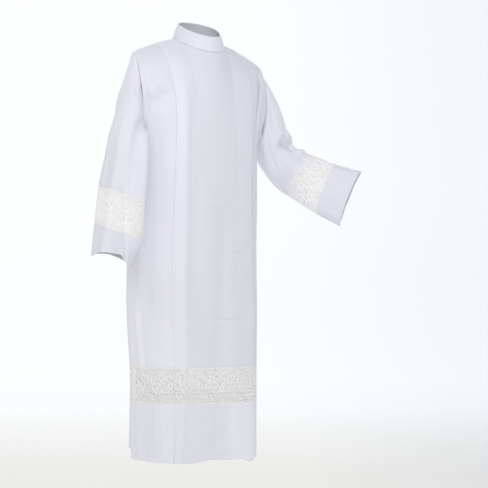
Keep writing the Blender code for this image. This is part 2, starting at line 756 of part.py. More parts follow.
def cuff(name, sleeve):
    """The plain end of a sleeve below its lace."""
    places = list(np.linspace(sleeve.lace[1] + SEAM / 2, sleeve.end, CUFF_ROWS + 1))
    points = sleeve.grid([sleeve.lace[1] - 0.02] + places)
    normals = grid_normals(points, closed=True)[1:]
    normals[0] = flattened(normals[0], ring_axis(points[1]))
    wall(name, points[1:], points[1:] - normals * HEM_CLOTH, cloth, closed=True)


def collar_wall():
    """A stand collar whose two ends meet at the wearer's left of the front."""
    first, last = COLLAR_OPENING, COLLAR_OPENING + 360.0
    between_ends = np.arange(math.ceil(first / NECK_STEP + 0.2), last / NECK_STEP - 0.2, 0.5) * NECK_STEP
    rows = []
    for i in range(COLLAR_ROWS + 1):
        up = i / COLLAR_ROWS
        gap = COLLAR_GAP_BELOW + (COLLAR_GAP_ABOVE - COLLAR_GAP_BELOW) * up
        row = []
        for angle in [first + gap / 2, *between_ends, last - gap / 2]:
            base = neck_edge(angle)
            c, s = math.cos(math.radians(angle)), math.sin(math.radians(angle))
            depth = -COLLAR_FRONT if c > 0 else -COLLAR_BACK
            rise = -COLLAR_FRONT_DROP if c > 0 else -COLLAR_BACK_RISE
            top = np.array([COLLAR_HALF_WIDTH * s, depth * c, COLLAR_SIDE_RISE + rise * c])
            bulge = unit(np.array([s, -c, 0.0])) * 0.0025 * math.sin(math.pi * up)
            row.append(base + (top - base) * up + bulge)
        rows.append(row)
    points = np.array(rows)
    points[0] += unit_rows(points[1] - points[0]) * SEAM * 2
    normals = grid_normals(points)
    normals[0] = unit_rows(normals[0] * np.array([1.0, 1.0, 0.0]))
    wall("collar", points, points - normals * COLLAR_CLOTH, cloth)


def hem_bands():
    """The plain bands below the skirt's lace, whose hems are turned up."""
    rows = [(1.0, z) for z in np.linspace(BAND_BOTTOM - SEAM / 2, HEM, HEM_ROWS + 1)]
    front, front_n, across, back, back_n, columns = body_panels(rows, HEM_CLOTH)
    up = np.array([0.0, 0.0, 1.0])
    front_n, back_n = flattened(front_n, up), flattened(back_n, up)
    front, front_inner = pleated(front, front_n, across, columns, rows, HEM_CLOTH)
    back_inner = back - back_n * HEM_CLOTH
    sides = (("hem_band_front", front, front_inner), ("hem_band_back", back, back_inner))
    for name, outer, inner in sides:
        side_seams(outer, inner)
        wall(name, outer, inner, cloth)


def material(name, colour, roughness):
    made = bpy.data.materials.new(name)
    made.use_nodes = True
    shader = made.node_tree.nodes["Principled BSDF"]
    shader.inputs["Base Color"].default_value = (*colour, 1.0)
    shader.inputs["Roughness"].default_value = roughness
    shader.inputs["Metallic"].default_value = 0.0
    return made


for leftover in list(bpy.data.objects):
    bpy.data.objects.remove(leftover)
robe = bpy.data.collections.new("alb_robe")
bpy.context.scene.collection.children.link(robe)
cloth = material("white_cloth", (0.86, 0.87, 0.92), 0.7)
lace = material("white_lace", (0.88, 0.88, 0.87), 0.8)

left_sleeve, right_sleeve = Sleeve(True), Sleeve(False)
main_panels((left_sleeve, right_sleeve))
collar_wall()
sleeve_cloth("left_sleeve", left_sleeve)
sleeve_cloth("right_sleeve", right_sleeve)
sleeve_lace("left_sleeve_lace_outer", left_sleeve, -0.25, 0.25)
sleeve_lace("left_sleeve_lace_inner", left_sleeve, 0.25, 0.75)
sleeve_lace("right_sleeve_lace_outer", right_sleeve, -0.25, 0.25)
sleeve_lace("right_sleeve_lace_inner", right_sleeve, 0.25, 0.75)
cuff("left_cuff", left_sleeve)
cuff("right_cuff", right_sleeve)
body_lace("skirt_lace_front", False)
body_lace("skirt_lace_back", True)
hem_bands()
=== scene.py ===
"""The looks of an alb robe: white cloth with soft folds and pressed pleats, lace bands, turned hems.

Metres, +Z up, the front faces -Y and the left sleeve, as worn, is at +X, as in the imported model.
"""

import math
from collections import namedtuple

import bmesh
import bpy
import numpy as np
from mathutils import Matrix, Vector
from mathutils.geometry import delaunay_2d_cdt


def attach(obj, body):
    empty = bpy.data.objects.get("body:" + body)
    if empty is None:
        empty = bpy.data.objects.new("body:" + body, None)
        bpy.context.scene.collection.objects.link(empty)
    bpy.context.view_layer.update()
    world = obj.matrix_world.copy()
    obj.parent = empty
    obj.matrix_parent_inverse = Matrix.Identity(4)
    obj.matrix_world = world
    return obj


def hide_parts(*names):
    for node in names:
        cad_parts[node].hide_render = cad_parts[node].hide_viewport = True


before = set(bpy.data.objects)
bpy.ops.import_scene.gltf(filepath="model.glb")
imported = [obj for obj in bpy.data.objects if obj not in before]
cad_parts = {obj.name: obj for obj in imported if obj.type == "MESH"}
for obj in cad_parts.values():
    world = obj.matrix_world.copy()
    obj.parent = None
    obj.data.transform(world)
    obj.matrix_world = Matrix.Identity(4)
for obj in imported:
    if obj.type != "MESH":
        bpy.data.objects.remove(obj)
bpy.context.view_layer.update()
bpy.ops.object.select_all(action="DESELECT")

# Cloth thicknesses, and the dip of the cloth where it is sewn to its neighbour
CLOTH = 0.0008
HEM_CLOTH = 0.0016
COLLAR_CLOTH = 0.0020
LACE_CLOTH = 0.0008
SEAM_DIP = 0.0009
SEAM_WIDTH = 0.0022
SEAM_ROWS = (0.0, 0.001, 0.002, 0.0035)

# Stitches: how far they lie from the edge, their pitch, their length, width and height, and how far
# they sink into it; the dip that they pull in the cloth, and how far a turned edge stands out below
HEM_STITCH = 0.015
CUFF_STITCH = 0.012
COLLAR_STITCH = 0.004
STITCH_PITCH = 0.0032
STITCH_SIZE = (0.0024, 0.0007, 0.00045)
STITCH_ENDS_SUNK = 0.0002
STITCH_MIDDLE_SUNK = 0.0003
STITCH_DIP = 0.0005
STITCH_DIP_WIDTH = 0.0012
TURNED_RISE = 0.0007

# How much the cloth is greyed, from 0 to 1: partly as single cloth, which is a little greyer, partly
# as painted shade; on the collar and the yoke the grey is painted shade only
SLEEVE_SINGLE_AND_SHADE = 0.85
CUFF_SINGLE_AND_SHADE = 0.55
COLLAR_PAINTED_SHADE = 0.45
YOKE_PAINTED_SHADE = 0.45

# Heights on the body
CHEST_LINE = -0.335
MID_SKIRT = -0.72
BAND_TOP = -1.037
BAND_BOTTOM = -1.151
HEM = -1.335

# Neck, shoulders and collar
NECK_HALF_WIDTH = 0.082
NECK_FRONT = 0.088
NECK_FRONT_DROP = 0.050
NECK_BACK = 0.072
NECK_BACK_RISE = 0.018
SHOULDER_HALF_WIDTH = 0.228
SHOULDER_DROP = 0.056
UNDERARM = np.array([0.206, 0.008, -0.300])
COLLAR_HALF_WIDTH = 0.066
COLLAR_FRONT = 0.082
COLLAR_BACK = 0.048
COLLAR_SIDE_RISE = 0.043
COLLAR_FRONT_DROP = 0.045
COLLAR_BACK_RISE = 0.024
COLLAR_OPENING = 36.0
COLLAR_CORNER = 0.82

# Angles round the body from the middle of the front
NECK_ANGLE = 22.0
SHOULDER_ANGLE = 64.0
SHOULDER_ANGLE_BELOW = 57.5
SIDE_ANGLE = 90.0
RIGHT_PLEAT_AT_TOP = (24.0, 41.0)
LEFT_PLEAT_AT_TOP = (22.0, 38.0)
# The angle over which the ridge that starts at the neck's end is smoothed out of the yoke, and how
# strongly the yoke's cloth keeps the way in which it leaves its top and reaches the chest line
YOKE_EASE = 4.0
YOKE_LEAVES = 1.05
YOKE_ARRIVES = 1.25
# How many columns of cloth each half of the body has: across the back, in front within the pleat and
# beyond it, and round the side
BACK_COLUMNS = 60
MIDDLE_COLUMNS = 25
BEYOND_COLUMNS = 30
SIDE_COLUMNS = 34

# Both pleats along the height: the angles of their inner and outer edges, and how far they stand
# out at the edge towards the left sleeve (high) and at the other one (low)
Pleat = namedtuple("Pleat", "z inner outer high low")
RIGHT_PLEAT = [
    Pleat(-0.05, 22.0, 37.7, 0.0012, 0.0026),
    Pleat(-0.16, 22.0, 37.7, 0.0028, 0.0024),
    Pleat(CHEST_LINE, 22.0, 37.7, 0.0066, 0.0018),
    Pleat(-0.67, 18.3, 35.5, 0.0076, 0.0014),
    Pleat(-0.92, 20.7, 35.3, 0.0062, 0.0012),
    Pleat(BAND_TOP, 22.6, 35.5, 0.0052, 0.0012),
    Pleat(BAND_BOTTOM, 24.6, 36.3, 0.0046, 0.0013),
    Pleat(HEM, 27.4, 37.2, 0.0046, 0.0016),
]
LEFT_PLEAT = [
    Pleat(-0.05, 18.0, 33.5, 0.0026, 0.0001),
    Pleat(-0.16, 18.0, 33.5, 0.0056, 0.0001),
    Pleat(CHEST_LINE, 18.0, 33.5, 0.0084, 0.0001),
    Pleat(-0.67, 19.0, 37.0, 0.0064, 0.0001),
    Pleat(-0.92, 20.0, 38.5, 0.0048, 0.0001),
    Pleat(BAND_TOP, 20.0, 38.5, 0.0036, 0.0001),
    Pleat(BAND_BOTTOM, 20.0, 37.0, 0.0032, 0.0002),
    Pleat(HEM, 20.0, 36.0, 0.0030, 0.0002),
]
# The part of the right pleat's width over which it rolls up, and the left one's overhang
PLEAT_ROLL = 0.42
PLEAT_OVERHANG = 0.0042
# The cloth dips beside both pleats' outer edges, by these parts of the edge's own height
RIGHT_GROOVE = -0.8
LEFT_GROOVE = -0.25
# The places of the columns of cloth across each pleat
RIGHT_SHARES = (0.0, 0.03, 0.07, 0.12, 0.18, 0.25, 0.33, 0.42, 0.52, 0.62, 0.72, 0.82, 0.90, 0.95,
                0.975, 1.0)
LEFT_SHARES = (0.0, 0.02, 0.04, 0.10, 0.20, 0.32, 0.45, 0.58, 0.70, 0.80, 0.88, 0.94, 0.98)
# The left pleat's outer fold: part of its height, and of its overhang
LEFT_NOSE = ((1.0, 0.85), (0.84, 1.0), (0.60, 1.0), (0.36, 0.8), (0.16, 0.45), (0.0, 0.0))

# The front hem rises in the middle: from and to these angles, by this much
HEM_RISE = (-26.0, -12.0, 19.0, 27.0, 0.009)

# The body's sections; the cloth stays behind by this part of their turn
CLOTH_STAYS = 0.75
BODY = np.array([
    # z, half width, front, back, centre x, centre y, turn, squareness
    (CHEST_LINE, 0.201, 0.124, 0.128, 0.000, 0.000, 3.0, 2.35),
    (-0.50, 0.205, 0.124, 0.134, -0.005, 0.005, 6.0, 2.3),
    (-0.75, 0.211, 0.126, 0.144, -0.010, 0.018, 14.0, 2.3),
    (BAND_TOP, 0.205, 0.122, 0.156, 0.012, 0.042, 24.0, 2.35),
    (HEM, 0.202, 0.124, 0.168, 0.014, 0.040, 28.0, 2.4),
])

# Vertical folds: angle, width, and how far they stand out at the chest, halfway down and at the hem
FOLDS = [
    (-100.0, 11.0, 0.000, -0.030, -0.044),
    (-80.0, 10.0, 0.000, 0.008, 0.010),
    (-52.0, 8.0, 0.000, -0.004, -0.006),
    (16.0, 11.0, 0.000, -0.006, -0.014),
    (54.0, 8.0, 0.000, 0.004, 0.006),
    (72.0, 8.0, 0.000, -0.004, -0.008),
    (99.0, 11.0, 0.000, -0.024, -0.038),
    (126.0, 12.0, 0.002, 0.014, 0.022),
    (152.0, 11.0, 0.000, -0.010, -0.016),
    (178.0, 13.0, 0.002, 0.010, 0.014),
    (-154.0, 11.0, 0.000, -0.010, -0.016),
    (-126.0, 12.0, 0.002, 0.019, 0.060),
]

# Sleeve rings: place along the sleeve, middle, way to the outer edge, way to the front, and
# how far the cloth lies from the middle towards the outer edge, underside, front and back
RIGHT_SLEEVE = [
    (0.10, (-0.250, -0.014, -0.247), (-0.52, 0.04, 0.85),
     (-0.15, -0.98, 0.0), (0.058, 0.070, 0.080, 0.072)),
    (0.20, (-0.268, -0.045, -0.320), (-0.82, 0.47, 0.32),
     (-0.40, -0.92, 0.0), (0.057, 0.062, 0.074, 0.070)),
    (0.33, (-0.287, -0.055, -0.418), (-0.84, 0.48, 0.26),
     (-0.50, -0.87, 0.05), (0.064, 0.070, 0.074, 0.072)),
    (0.44, (-0.304, -0.065, -0.502), (-0.82, 0.47, 0.31),
     (-0.50, -0.87, 0.05), (0.070, 0.074, 0.074, 0.072)),
    (0.56, (-0.319, -0.075, -0.611), (-0.81, 0.47, 0.35),
     (-0.50, -0.87, 0.00), (0.073, 0.077, 0.074, 0.072)),
    (0.65, (-0.350, -0.085, -0.701), (-0.83, 0.48, 0.27),
     (-0.50, -0.87, -0.05), (0.056, 0.060, 0.072, 0.070)),
]
RIGHT_LACE = (0.44, 0.56)
LEFT_SLEEVE = [
    (0.12, (0.275, 0.014, -0.280), (0.27, -0.16, 0.95),
     (-0.25, -0.97, 0.0), (0.106, 0.098, 0.062, 0.060)),
    (0.22, (0.325, 0.003, -0.370), (0.355, -0.20, 0.92),
     (-0.50, -0.87, 0.0), (0.080, 0.080, 0.050, 0.052)),
    (0.27, (0.344, -0.025, -0.404), (0.387, -0.22, 0.90),
     (-0.70, -0.72, 0.0), (0.077, 0.077, 0.044, 0.046)),
    (0.33, (0.359, -0.063, -0.422), (0.476, -0.275, 0.84),
     (-0.82, -0.57, 0.0), (0.078, 0.080, 0.038, 0.040)),
    (0.43, (0.413, -0.134, -0.471), (0.306, -0.177, 0.94),
     (-0.85, -0.53, 0.0), (0.088, 0.088, 0.036, 0.038)),
    (0.52, (0.456, -0.205, -0.505), (0.315, -0.182, 0.93),
     (-0.85, -0.53, 0.0), (0.096, 0.094, 0.036, 0.038)),
]
LEFT_LACE = (0.33, 0.43)

# Folds of the sleeves: angle round the ring, width, height, middle and length along the sleeve
RIGHT_FOLDS = [
    (76.0, 16.0, 0.012, 0.60, 0.22),
    (112.0, 16.0, -0.006, 0.56, 0.16),
    (48.0, 14.0, -0.006, 0.38, 0.14),
    (120.0, 14.0, -0.007, 0.14, 0.12),
    (96.0, 12.0, 0.005, 0.12, 0.10),
    (235.0, 20.0, -0.008, 0.40, 0.20),
]
LEFT_FOLDS = [
    (45.0, 20.0, -0.009, 0.23, 0.050),
    (10.0, 22.0, -0.005, 0.25, 0.045),
    (80.0, 18.0, 0.006, 0.28, 0.060),
    (130.0, 20.0, 0.005, 0.40, 0.12),
    (300.0, 20.0, -0.006, 0.26, 0.08),
]

# Creases and soft troughs laid on the finished form. Each runs from a place (angle in degrees, then
# height or place along the sleeve) to another. Then come its width, its height and its bow, and True
# for a sharp one. The lengths are in millimetres here.
Crease = namedtuple(
    "Crease", "from_angle from_at to_angle to_at width height bow sharp", defaults=[False])


def creases(*rows):
    """The creases of a piece, with their lengths in metres."""
    made = []
    for first, start, last, end, width, height, bow, *sharp in rows:
        sizes = (width / 1000, height / 1000, bow / 1000)
        made.append(Crease(first, start / 1000, last, end / 1000, *sizes, *sharp))
    return made


BODY_CREASES = creases(
    # hollows beside the shoulders, and drag lines from the neck and the pleats
    (-40, -146, -66, -190, 18, 6, 0),
    (-42, -188, -66, -232, 18, -7, 0),
    (53, -100, 51, -320, 6.8, -28, 0),
    (-63, -130, -67, -250, 6, -3, 3),
    (-12, -140, -20, -300, 14, -1.4, 4),
    (10, -160, 17, -330, 16, -1.6, -3),
    # pressed lines across, where it was packed
    (-6, -538, 11.5, -539, 2, -2.2, 1, True),
    (17, -676, 32.5, -675, 2, -2.2, 0, True),
    (-50, -886, -41, -886, 2, -2.2, 0, True),
    (-12, -888, 29, -886, 2.2, -2.4, 1, True),
    (-88, -675, -62, -676, 1.8, -0.8, 1, True),
    (150, -538, 190, -539, 2, -2.2, 1, True),
    (-165, -676, -140, -675, 2, -2, 0, True),
    (140, -886, 172, -887, 2, -2.2, 1, True),
    # soft folds down the front
    (-74, -250, -76, -660, 30, 16, 0),
    (-78.5, -840, -77, -1050, 8, 4.5, 3),
    (-72, -860, -71, -1060, 7, -3.5, 2),
    (-70, -600, -73, -800, 12, 2.4, 3),
    (-58, -620, -56, -920, 16, -1.8, 6),
    (-47, -600, -44, -1000, 13, 1.8, -4),
    (-15, -420, -14, -1020, 12, -2.2, 3),
    (-4, -500, -7, -960, 16, 1.6, -4),
    (6, -720, 3, -1000, 12, -1.4, 3),
    (15, -580, 13, -970, 14, 1.5, 2),
    (48, -400, 46, -860, 10, -3, 3),
    (66, -450, 70, -980, 16, 2.8, 4),
    (80, -520, 78, -900, 12, -2.6, -3),
    # and down the back
    (180, -200, 178, -560, 20, -3, 4),
    (165, -340, 160, -900, 18, 3, -5),
    (146, -420, 149, -800, 12, -2.8, 4),
    (138, -660, 136, -1020, 14, 3, 4),
    (118, -450, 114, -950, 16, -3, 5),
    (-164, -380, -168, -860, 16, -3, 4),
    (-148, -300, -143, -980, 18, 3.2, 6),
    (-132, -540, -136, -1020, 12, -3, -4),
    (-112, -460, -110, -990, 16, 3, 4),
    (-128, -120, -140, -300, 18, -5, 4),
    (126, -120, 138, -310, 18, -4.8, -4),
    # through the lace and the hem band
    (-84, -1030, -86, -1340, 14, 3, 3),
    (-64, -1080, -62, -1340, 12, -1.8, 3),
    (-50, -1140, -49, -1340, 10, 1.2, -2),
    (-9, -1050, -8, -1340, 13, 1.4, 3),
    (3, -1100, 5, -1340, 11, -1.4, 2),
    (50, -1040, 49, -1340, 10, -2.4, 2),
    (70, -1050, 72, -1340, 14, 2.4, -3),
    (112, -1020, 109, -1340, 14, -3, 3),
    (140, -1040, 142, -1340, 13, 2.8, -3),
    (168, -1050, 166, -1340, 14, -2.6, 3),
    (-168, -1060, -170, -1340, 12, 2.2, 3),
    (-140, -1030, -142, -1340, 14, -3, 4),
    (-112, -1040, -114, -1340, 14, 3, 3),
)
RIGHT_CREASES = creases(
    # gathers and drag lines below the shoulder
    (30, 18, 68, 72, 3.5, -2.6, 2),
    (78, 4, 126, 46, 5.5, -5, 3),
    (60, 10, 88, 100, 6, 2.2, 3),
    (100, 50, 118, 170, 8, -3, 3),
    # long soft folds to the lace
    (50, 120, 62, 430, 11, -2.4, 4),
    (94, 170, 98, 420, 12, 1.2, 4),
    (114, 180, 117, 420, 8, -1.2, -3),
    (146, 100, 156, 500, 18, 11, 2),
    (22, 200, 30, 400, 10, 2.2, 3),
    # the crisp fold down the lace and the cuff
    (105, 410, 117, 560, 5, 1.6, 0),
    (99, 420, 111, 560, 3.6, -3.6, 0),
    (117, 560, 152, 655, 5, 3.6, 0),
    (111, 560, 146, 655, 4, -5, 0),
    # hidden side
    (212, 100, 220, 420, 13, -4, 4),
    (250, 160, 246, 430, 12, 3.4, -4),
    (286, 80, 292, 400, 11, -3.4, 3),
    (322, 60, 330, 340, 11, 2.6, 3),
    (228, 440, 236, 655, 9, -3.6, 2),
    (292, 450, 288, 655, 9, 3.4, 2),
)
LEFT_CREASES = creases(
    # the fold that runs over the elbow from its inner side
    (84, 174, 14, 248, 9.5, -22, 3),
    (78, 152, 16, 222, 8.5, 7, 3),
    (48, 185, 350, 222, 10, 7.5, 2),
    (40, 262, 345, 284, 12, 8.5, 2),
    # drag lines from the armhole and down the underside
    (4, 22, 148, 32, 11, -24, 0),
    (108, 70, 118, 220, 6, -4, 2),
    (60, 20, 84, 130, 10, -2.4, 3),
    (132, 100, 148, 260, 8, 3.2, 2),
    (150, 200, 128, 340, 7, -3.4, 3),
    (170, 160, 150, 300, 8, 3, 2),
    # along the forearm
    (58, 290, 50, 430, 8, -2.2, 2),
    (96, 300, 100, 520, 10, 2.2, 3),
    (128, 360, 122, 520, 8, -2, 2),
    (34, 400, 38, 520, 8, 1.6, 2),
    # hidden side
    (212, 50, 226, 240, 10, -4, 3),
    (246, 100, 238, 300, 10, 3.6, 4),
    (282, 140, 300, 270, 8, -7, 3),
    (310, 60, 322, 190, 9, 3.4, 3),
    (256, 320, 250, 520, 10, -3.2, 3),
    (300, 330, 306, 520, 10, 2.8, 2),
)

# The points round a sleeve and round a cuff, and how square a sleeve's section is
SLEEVE_COLUMNS = 96
CUFF_COLUMNS = 128
SLEEVE_SQUARENESS = 2.15
# A cuff's usual depth, and the rows of points along its turned edge, from the edge
CUFF_DEPTH = 0.090
CUFF_EDGE = (0.0170, 0.0145, 0.0132, 0.0120, 0.0108, 0.0095, 0.0070, 0.0045, 0.0020, 0.0008, 0.0)

# The cloth's length along one degree, for the creases; the parts of a crease's length by which it
# runs past its ends and over which it fades
BODY_METRES = 0.0031
SLEEVE_METRES = 0.0013
CREASE_PAST = 0.12
CREASE_FADE = 0.3

# How far along each sleeve its cuff ends, by the angle round it
RIGHT_RIM = [(0, 0.650), (30, 0.646), (67, 0.628), (94, 0.621), (120, 0.618), (138, 0.634),
             (156, 0.650), (200, 0.648), (240, 0.640), (285, 0.636), (330, 0.645)]
LEFT_RIM = [(0, 0.520), (150, 0.520), (184, 0.517), (215, 0.506), (255, 0.499), (300, 0.501),
            (335, 0.512)]

# Where the right sleeve is greyed as single cloth and as painted shade: up to these angles, at places
# along it
SINGLE_AND_SHADE_PLACES = (0.30, 0.448, 0.547, 0.647)
SINGLE_AND_SHADE_ANGLES = (126.0, 101.0, 112.5, 161.0)

# Lace: the length of one repeat, the grid that its gaps are read from, its cords, the gaps between
# them (half), the bars across the gaps, and the plain rims along and at the ends of a band
LACE_REPEAT = 0.092
LACE_CELL = 0.0005
CORD_HALF = 0.0017
CORD_STEP = 0.0060
CORD_EDGE = 0.0016
CORD_FADE = 0.0010
GAP_HALF = 0.0009
SLEEVE_GAP_HALF = 0.0004
BAR_HALF = 0.0008
BAR_STEP = 0.013
LACE_RIM = 0.0026
LACE_END = 0.0025
# The smallest gap in square metres, the spacing of points round a gap, and the size of the net's mesh
SMALLEST_GAP = 2.0e-6
GAP_POINTS = 0.0014
LACE_MESH = 0.005
# The pitch of the woven cloth's threads
WEAVE_PITCH = 0.0011
# Further than any distance that is measured, in metres
FAR = 9.0


def smooth(t):
    """Ease from 0 to 1."""
    t = np.clip(t, 0.0, 1.0)
    return t * t * (3.0 - 2.0 * t)


def unit(v):
    """Vectors of the same ways and of length 1."""
    v = np.asarray(v, float)
    return v / np.maximum(np.linalg.norm(v, axis=-1, keepdims=True), 1e-12)


def run_along(line):
    """How far each point of a line, or of every column of a grid, is along it."""
    steps = np.linalg.norm(np.diff(line, axis=0), axis=-1)
    return np.concatenate([np.zeros((1,) + steps.shape[1:]), np.cumsum(steps, axis=0)])


def point_at(at, places, line):
    """A point of a line, at a place along it."""
    return np.array([np.interp(at, places, line[:, axis]) for axis in range(3)])


def through(places, table, at):
    """A smooth curve through the rows of a table, read at many places."""
    at = np.asarray(at, float)
    count = len(places)
    k = np.clip(np.searchsorted(places, at, side="right") - 1, 0, count - 2)
    low = np.maximum(np.arange(count) - 1, 0)
    high = np.minimum(np.arange(count) + 1, count - 1)
    run = (places[high] - places[low]).reshape((count,) + (1,) * (table.ndim - 1))
    slopes = (table[high] - table[low]) / run
    span = places[k + 1] - places[k]
    t = (at - places[k]) / span
    shape = t.shape + (1,) * (table.ndim - 1)
    t, span = t.reshape(shape), span.reshape(shape)
    return (
        (2 * t**3 - 3 * t**2 + 1) * table[k]
        + (t**3 - 2 * t**2 + t) * slopes[k] * span
        + (3 * t**2 - 2 * t**3) * table[k + 1]
        + (t**3 - t**2) * slopes[k + 1] * span
    )


def rounded(angle, square):
    """The two parts of a rounded section at an angle."""
    c, s = np.cos(np.radians(angle)), np.sin(np.radians(angle))
    power = 2.0 / square
    return np.sign(c) * np.abs(c) ** power, np.sign(s) * np.abs(s) ** power


def wrapped(angle):
    """An angle between -180 and 180 degrees."""
    return (angle + 180.0) % 360.0 - 180.0


def fold_depth(angle, z):
    """How far the vertical folds move the body's cloth out."""
    total = 0.0
    upper = smooth((CHEST_LINE - z) / (CHEST_LINE - MID_SKIRT))
    lower = (MID_SKIRT - z) / (MID_SKIRT - HEM)
    for middle, width, chest, mid, hem in FOLDS:
        height = np.where(z > MID_SKIRT, chest + (mid - chest) * upper, mid + (hem - mid) * lower)
        total = total + height * np.exp(-((wrapped(angle - middle) / width) ** 2))
    return total


def body(z, angle):
    """Points of the body's cloth below the chest line."""
    z, angle = np.broadcast_arrays(np.asarray(z, float), np.asarray(angle, float))
    row = through(-BODY[:, 0], BODY, -z)
    half_width, front, back, x0, y0, turn, square = (row[..., k] for k in range(1, 8))
    angle = angle + turn * CLOTH_STAYS
    fore, side = rounded(angle, square)
    flat = np.stack([half_width * side, -np.where(fore > 0, front, back) * fore], axis=-1)
    flat = flat + unit(flat) * fold_depth(angle, z)[..., None]
    c, s = np.cos(np.radians(-turn)), np.sin(np.radians(-turn))
    x = flat[..., 0] * c - flat[..., 1] * s + x0
    y = flat[..., 0] * s + flat[..., 1] * c + y0
    return np.stack([x, y, z], axis=-1)


def neck_point(angle):
    """The neck seam at an angle from the middle of the front."""
    c, s = math.cos(math.radians(angle)), math.sin(math.radians(angle))
    depth = -NECK_FRONT if c > 0 else -NECK_BACK
    rise = -NECK_FRONT_DROP if c > 0 else -NECK_BACK_RISE
    return np.array([NECK_HALF_WIDTH * s, depth * c, rise * c])


def shoulder_point(share):
    """The left shoulder seam, from the neck (0) to the armhole (1)."""
    x = NECK_HALF_WIDTH + (SHOULDER_HALF_WIDTH - NECK_HALF_WIDTH) * share
    return np.array([x, 0.006 * share, -SHOULDER_DROP * (0.8 * share + 0.2 * share**3)])


def armhole_point(share, back):
    """The left armhole's seam in front or behind, from the shoulder (0) to the underarm (1)."""
    side = 1.0 if back else -1.0
    first = np.array([SHOULDER_HALF_WIDTH + 0.004, side * 0.058, -0.105])
    second = np.array([SHOULDER_HALF_WIDTH - 0.004, side * 0.086, -0.285])
    t = share
    return (
        (1 - t) ** 3 * shoulder_point(1.0)
        + 3 * t * (1 - t) ** 2 * first
        + 3 * t * t * (1 - t) * second
        + t**3 * UNDERARM
    )


def top_point(angle, back):
    """Where a column of the body's cloth starts and the way it leaves: lean is its part forwards."""
    size, mirror = abs(angle), np.array([math.copysign(1.0, angle), 1.0, 1.0])
    way, aside = (1.0 if back else -1.0), 0.0
    if size < NECK_ANGLE:
        share = size / NECK_ANGLE
        start = neck_point(180.0 - 90.0 * share if back else 90.0 * share)
        lean = 0.35 + 0.48 * share**2
    elif size < SHOULDER_ANGLE:
        share = (size - NECK_ANGLE) / (SHOULDER_ANGLE - NECK_ANGLE)
        start = shoulder_point(share)
        lean = 0.83 + 0.05 * share
    else:
        share = (size - SHOULDER_ANGLE) / (SIDE_ANGLE - SHOULDER_ANGLE)
        start = armhole_point(share, back)
        lean = 0.88 * (1 - share) ** 2.2
        aside = -0.10 * share
    leave = np.array([aside, way * lean, -math.sqrt(1 - lean**2)])
    return start * mirror, leave * mirror


def yoke(top_angle, chest_angle, back, share):
    """One column of the body's cloth between the shoulders and the chest line."""
    start, leave = top_point(top_angle, back)
    end = body(CHEST_LINE, chest_angle)
    arrive = unit(body(CHEST_LINE - 0.02, chest_angle) - end)
    length = np.linalg.norm(end - start)
    t = np.asarray(share, float)[:, None]
    return (
        (2 * t**3 - 3 * t**2 + 1) * start
        + (t**3 - 2 * t**2 + t) * leave * length * YOKE_LEAVES
        + (3 * t**2 - 2 * t**3) * end
        + (t**3 - t**2) * arrive * length * YOKE_ARRIVES
    )


def along_pleat(field, z, left):
    """A figure of a pleat at a height, from its table."""
    table = LEFT_PLEAT if left else RIGHT_PLEAT
    return np.interp(-z, [-row.z for row in table], [getattr(row, field) for row in table])


def below(at, z, left, back):
    """The angle, below the chest line, of the cloth that starts at an angle at the top."""
    if back and at < SHOULDER_ANGLE:
        return np.full(np.shape(z), at * SHOULDER_ANGLE_BELOW / SHOULDER_ANGLE)
    if back or at > SHOULDER_ANGLE:
        spread = SIDE_ANGLE - SHOULDER_ANGLE_BELOW
        beyond = (at - SHOULDER_ANGLE) * spread / (SIDE_ANGLE - SHOULDER_ANGLE)
        return np.full(np.shape(z), SHOULDER_ANGLE_BELOW + beyond)
    first, last = LEFT_PLEAT_AT_TOP if left else RIGHT_PLEAT_AT_TOP
    inner, outer = along_pleat("inner", z, left), along_pleat("outer", z, left)
    if at <= first:
        return inner * at / first
    if at <= last:
        return inner + (outer - inner) * (at - first) / (last - first)
    return outer + (SHOULDER_ANGLE_BELOW - outer) * (at - last) / (SHOULDER_ANGLE - last)


def pleat_shape(share, left):
    """The parts of its high and of its low edge's height that a pleat has, across it."""
    if left:
        high, low = np.clip(share, 0.0, 1.0) ** 1.4, (1 - share) * smooth(share / 0.04)
    else:
        high = np.where(share < PLEAT_ROLL, smooth(share / PLEAT_ROLL), (1 - share) / (1 - PLEAT_ROLL))
        low = share * smooth((1 - share) / 0.03)
    inside = (share >= 0) & (share <= 1)
    return np.where(inside, high, 0.0), np.where(inside, low, 0.0)


def pleat_rise(angle, z):
    """How far the pleats stand out at an angle and height below the chest."""
    total = 0.0
    for left in (False, True):
        size = angle if left else -angle
        inner, outer = along_pleat("inner", z, left), along_pleat("outer", z, left)
        high, low = pleat_shape((size - inner) / (outer - inner), left)
        total = total + high * along_pleat("high", z, left) + low * along_pleat("low", z, left)
    return total


# A column of cloth: its angle at the top, and its parts of a pleat's heights and overhang
Column = namedtuple("Column", "at high low slide left")


def pleat_columns(left):
    """The columns across a box pleat; the left one ends in a fold that overhangs its own edge."""
    first, last = LEFT_PLEAT_AT_TOP if left else RIGHT_PLEAT_AT_TOP
    made = []
    for share in LEFT_SHARES if left else RIGHT_SHARES:
        high, low = pleat_shape(np.float64(share), left)
        slide = float(smooth((share - 0.82) / 0.18)) * 0.8 if left else 0.0
        made.append(Column(first + (last - first) * share, float(high), float(low), slide, left))
    if left:
        made += [Column(last, high, 0.0, slide, left) for high, slide in LEFT_NOSE]
    return made


def flat_columns(places, left):
    """Columns of cloth without a pleat."""
    return [Column(at, 0.0, 0.0, 0.0, left) for at in places]


def near_edges(first, last, count):
    """Places between two ends, without the first one, that gather towards the last one."""
    even = list(np.linspace(first, last, count + 1)[1:])
    step = (last - first) / count
    return even[:-1] + [last - step * 0.45, last - step * 0.2, last]


